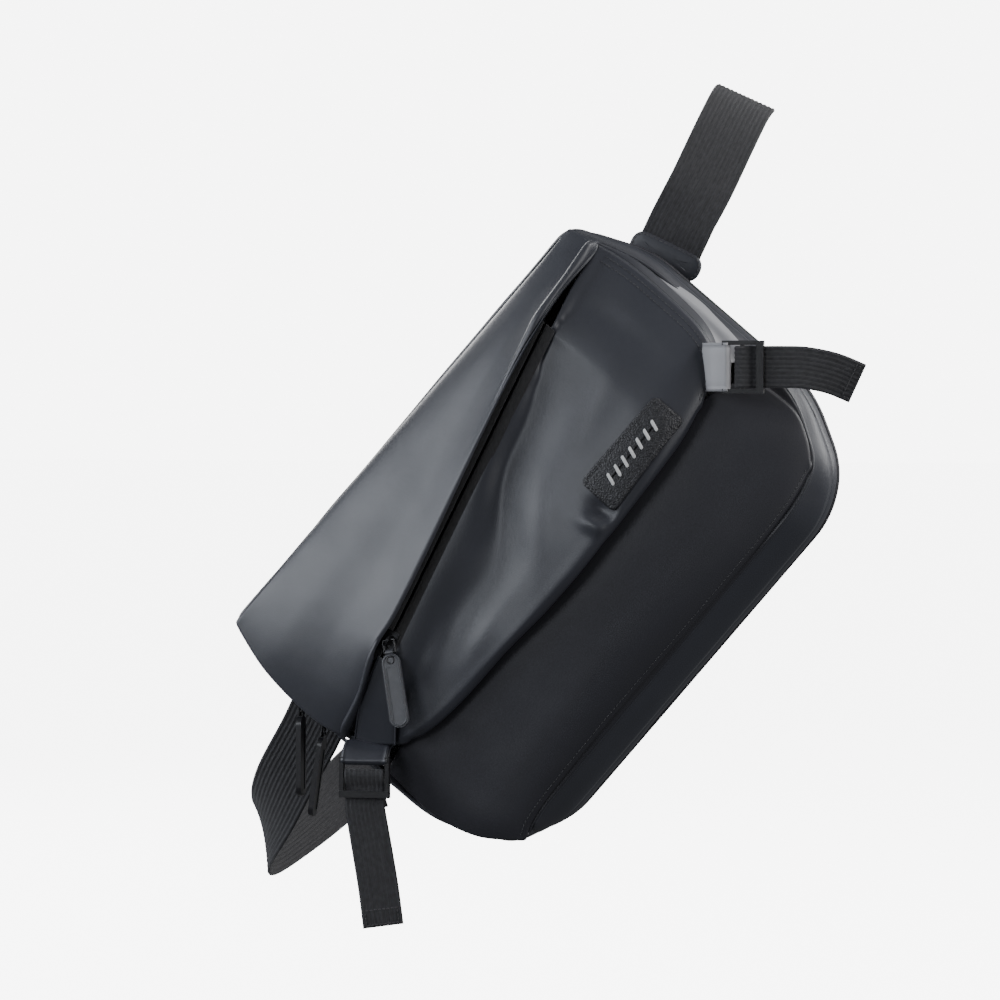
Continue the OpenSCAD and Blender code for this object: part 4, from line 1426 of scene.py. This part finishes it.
for vertex in pad.data.vertices:
    place = vertex.co - BAG_AT
    u, v, w = place.dot(ALONG) / MM, place.dot(ACROSS) / MM, place.dot(OUT) / MM
    if w < (PAD_LOW + PAD_HIGH) / 2:
        _, _, gap = tree.find(Vector((u, v, 0)))
        sink = (CHANNEL_W - w) * math.exp(-((gap / CHANNEL_HALF) ** 2))
        vertex.co += OUT * sink * MM
for polygon in pad.data.polygons:
    polygon.use_smooth = True
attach(pad, "back")
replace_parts(pad, "back_panel")
for k, line in enumerate(channel_lines):
    run = [bag(p + Vector((0, 0, CHANNEL_W))) for p in line]
    stitches(f"back_pad_stitches_{k}", [(run, -OUT)], "back", pitch=3.4, length=2.5, radius=0.32)

# ---- camera, lights and floor ----
AIM = Vector((-0.1515, -0.035, -0.254))
AZIMUTH = math.radians(13)
ELEVATION = math.radians(1.5)
DISTANCE = 2.4
towards = Vector((
    math.sin(AZIMUTH) * math.cos(ELEVATION),
    -math.cos(AZIMUTH) * math.cos(ELEVATION),
    math.sin(ELEVATION),
))
camera_data = bpy.data.cameras.new("camera")
camera_data.lens = 136
camera_data.sensor_width = 36
camera = add_object("camera", camera_data)
camera.location = AIM + towards * DISTANCE
camera.rotation_euler = (-towards).to_track_quat("-Z", "Y").to_euler()
bpy.context.scene.camera = camera


def area_light(name, place, target, size, power, tint=(1, 1, 1)):
    data = bpy.data.lights.new(name, "AREA")
    data.shape = "RECTANGLE"
    data.size, data.size_y = size
    data.energy = power
    data.color = tint
    light = add_object(name, data)
    light.location = place
    light.rotation_euler = (Vector(target) - Vector(place)).to_track_quat("-Z", "Y").to_euler()


COOL = (0.9, 0.94, 1)
area_light("key", (-1.75, -0.65, 0.25), (-0.15, -0.05, -0.25), (1.2, 1.1), 25, COOL)
area_light("front", (-1.2, -2.5, 0.4), (-0.1, -0.05, -0.25), (0.9, 0.9), 22, COOL)
area_light("top", (0.1, -0.2, 2.0), (-0.1, -0.05, -0.25), (1.6, 0.8), 7)
area_light("right_top", (1.6, -0.1, 1.2), (0, -0.05, -0.2), (0.7, 0.7), 26)
area_light("right_edge", (1.9, -0.9, 0.2), (-0.1, -0.05, -0.25), (0.5, 1.6), 22)
area_light("rear_left", (-1.6, 2.0, 0.9), (-0.1, 0, -0.25), (1.4, 1.4), 40)
area_light("rear_right", (1.8, 1.7, 0.6), (-0.1, 0, -0.25), (1.2, 1.4), 30)

FLOOR_Z = -0.72
FLOOR_SIZE = 30
FLOOR_GLOW = 6.6
FLOOR = new_material("floor_finish", (0.86, 0.86, 0.86), 0.85)
colour_noise(FLOOR, (0.86, 0.86, 0.86), 0.01, 3)
_, _, floor_shader = nodes_of(FLOOR)
floor_shader.inputs["Emission Color"].default_value = (1, 1, 1, 1)
floor_shader.inputs["Emission Strength"].default_value = FLOOR_GLOW
floor_mesh = bpy.data.meshes.new("floor")
corners = [(x * FLOOR_SIZE, y * FLOOR_SIZE, FLOOR_Z) for x, y in ((-1, -1), (1, -1), (1, 1), (-1, 1))]
floor_mesh.from_pydata(corners, [], [(0, 1, 2, 3)])
floor_mesh.materials.append(FLOOR)
floor = add_object("floor", floor_mesh)
floor.visible_glossy = False
floor.visible_diffuse = False
floor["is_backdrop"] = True

# The studio looks pale behind the bag but gives it little light of its own
BACKDROP = 7
AMBIENT = 0.13
world = bpy.data.worlds.new("studio")
bpy.context.scene.world = world
world.use_nodes = True
sky = world.node_tree
seen = sky.nodes["Background"]
seen.inputs["Color"].default_value = (1, 1, 1, 1)
seen.inputs["Strength"].default_value = BACKDROP
ambient = sky.nodes.new("ShaderNodeBackground")
ambient.inputs["Color"].default_value = (0.93, 0.96, 1, 1)
ambient.inputs["Strength"].default_value = AMBIENT
which = sky.nodes.new("ShaderNodeMixShader")
path_kind = sky.nodes.new("ShaderNodeLightPath")
sky.links.new(path_kind.outputs["Is Camera Ray"], which.inputs["Fac"])
sky.links.new(ambient.outputs["Background"], which.inputs[1])
sky.links.new(seen.outputs["Background"], which.inputs[2])
sky.links.new(which.outputs["Shader"], sky.nodes["World Output"].inputs["Surface"])

boxes = {"cad": cad_box, "visual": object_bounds()}
{name: [list(corner) for corner in box] for name, box in boxes.items()}
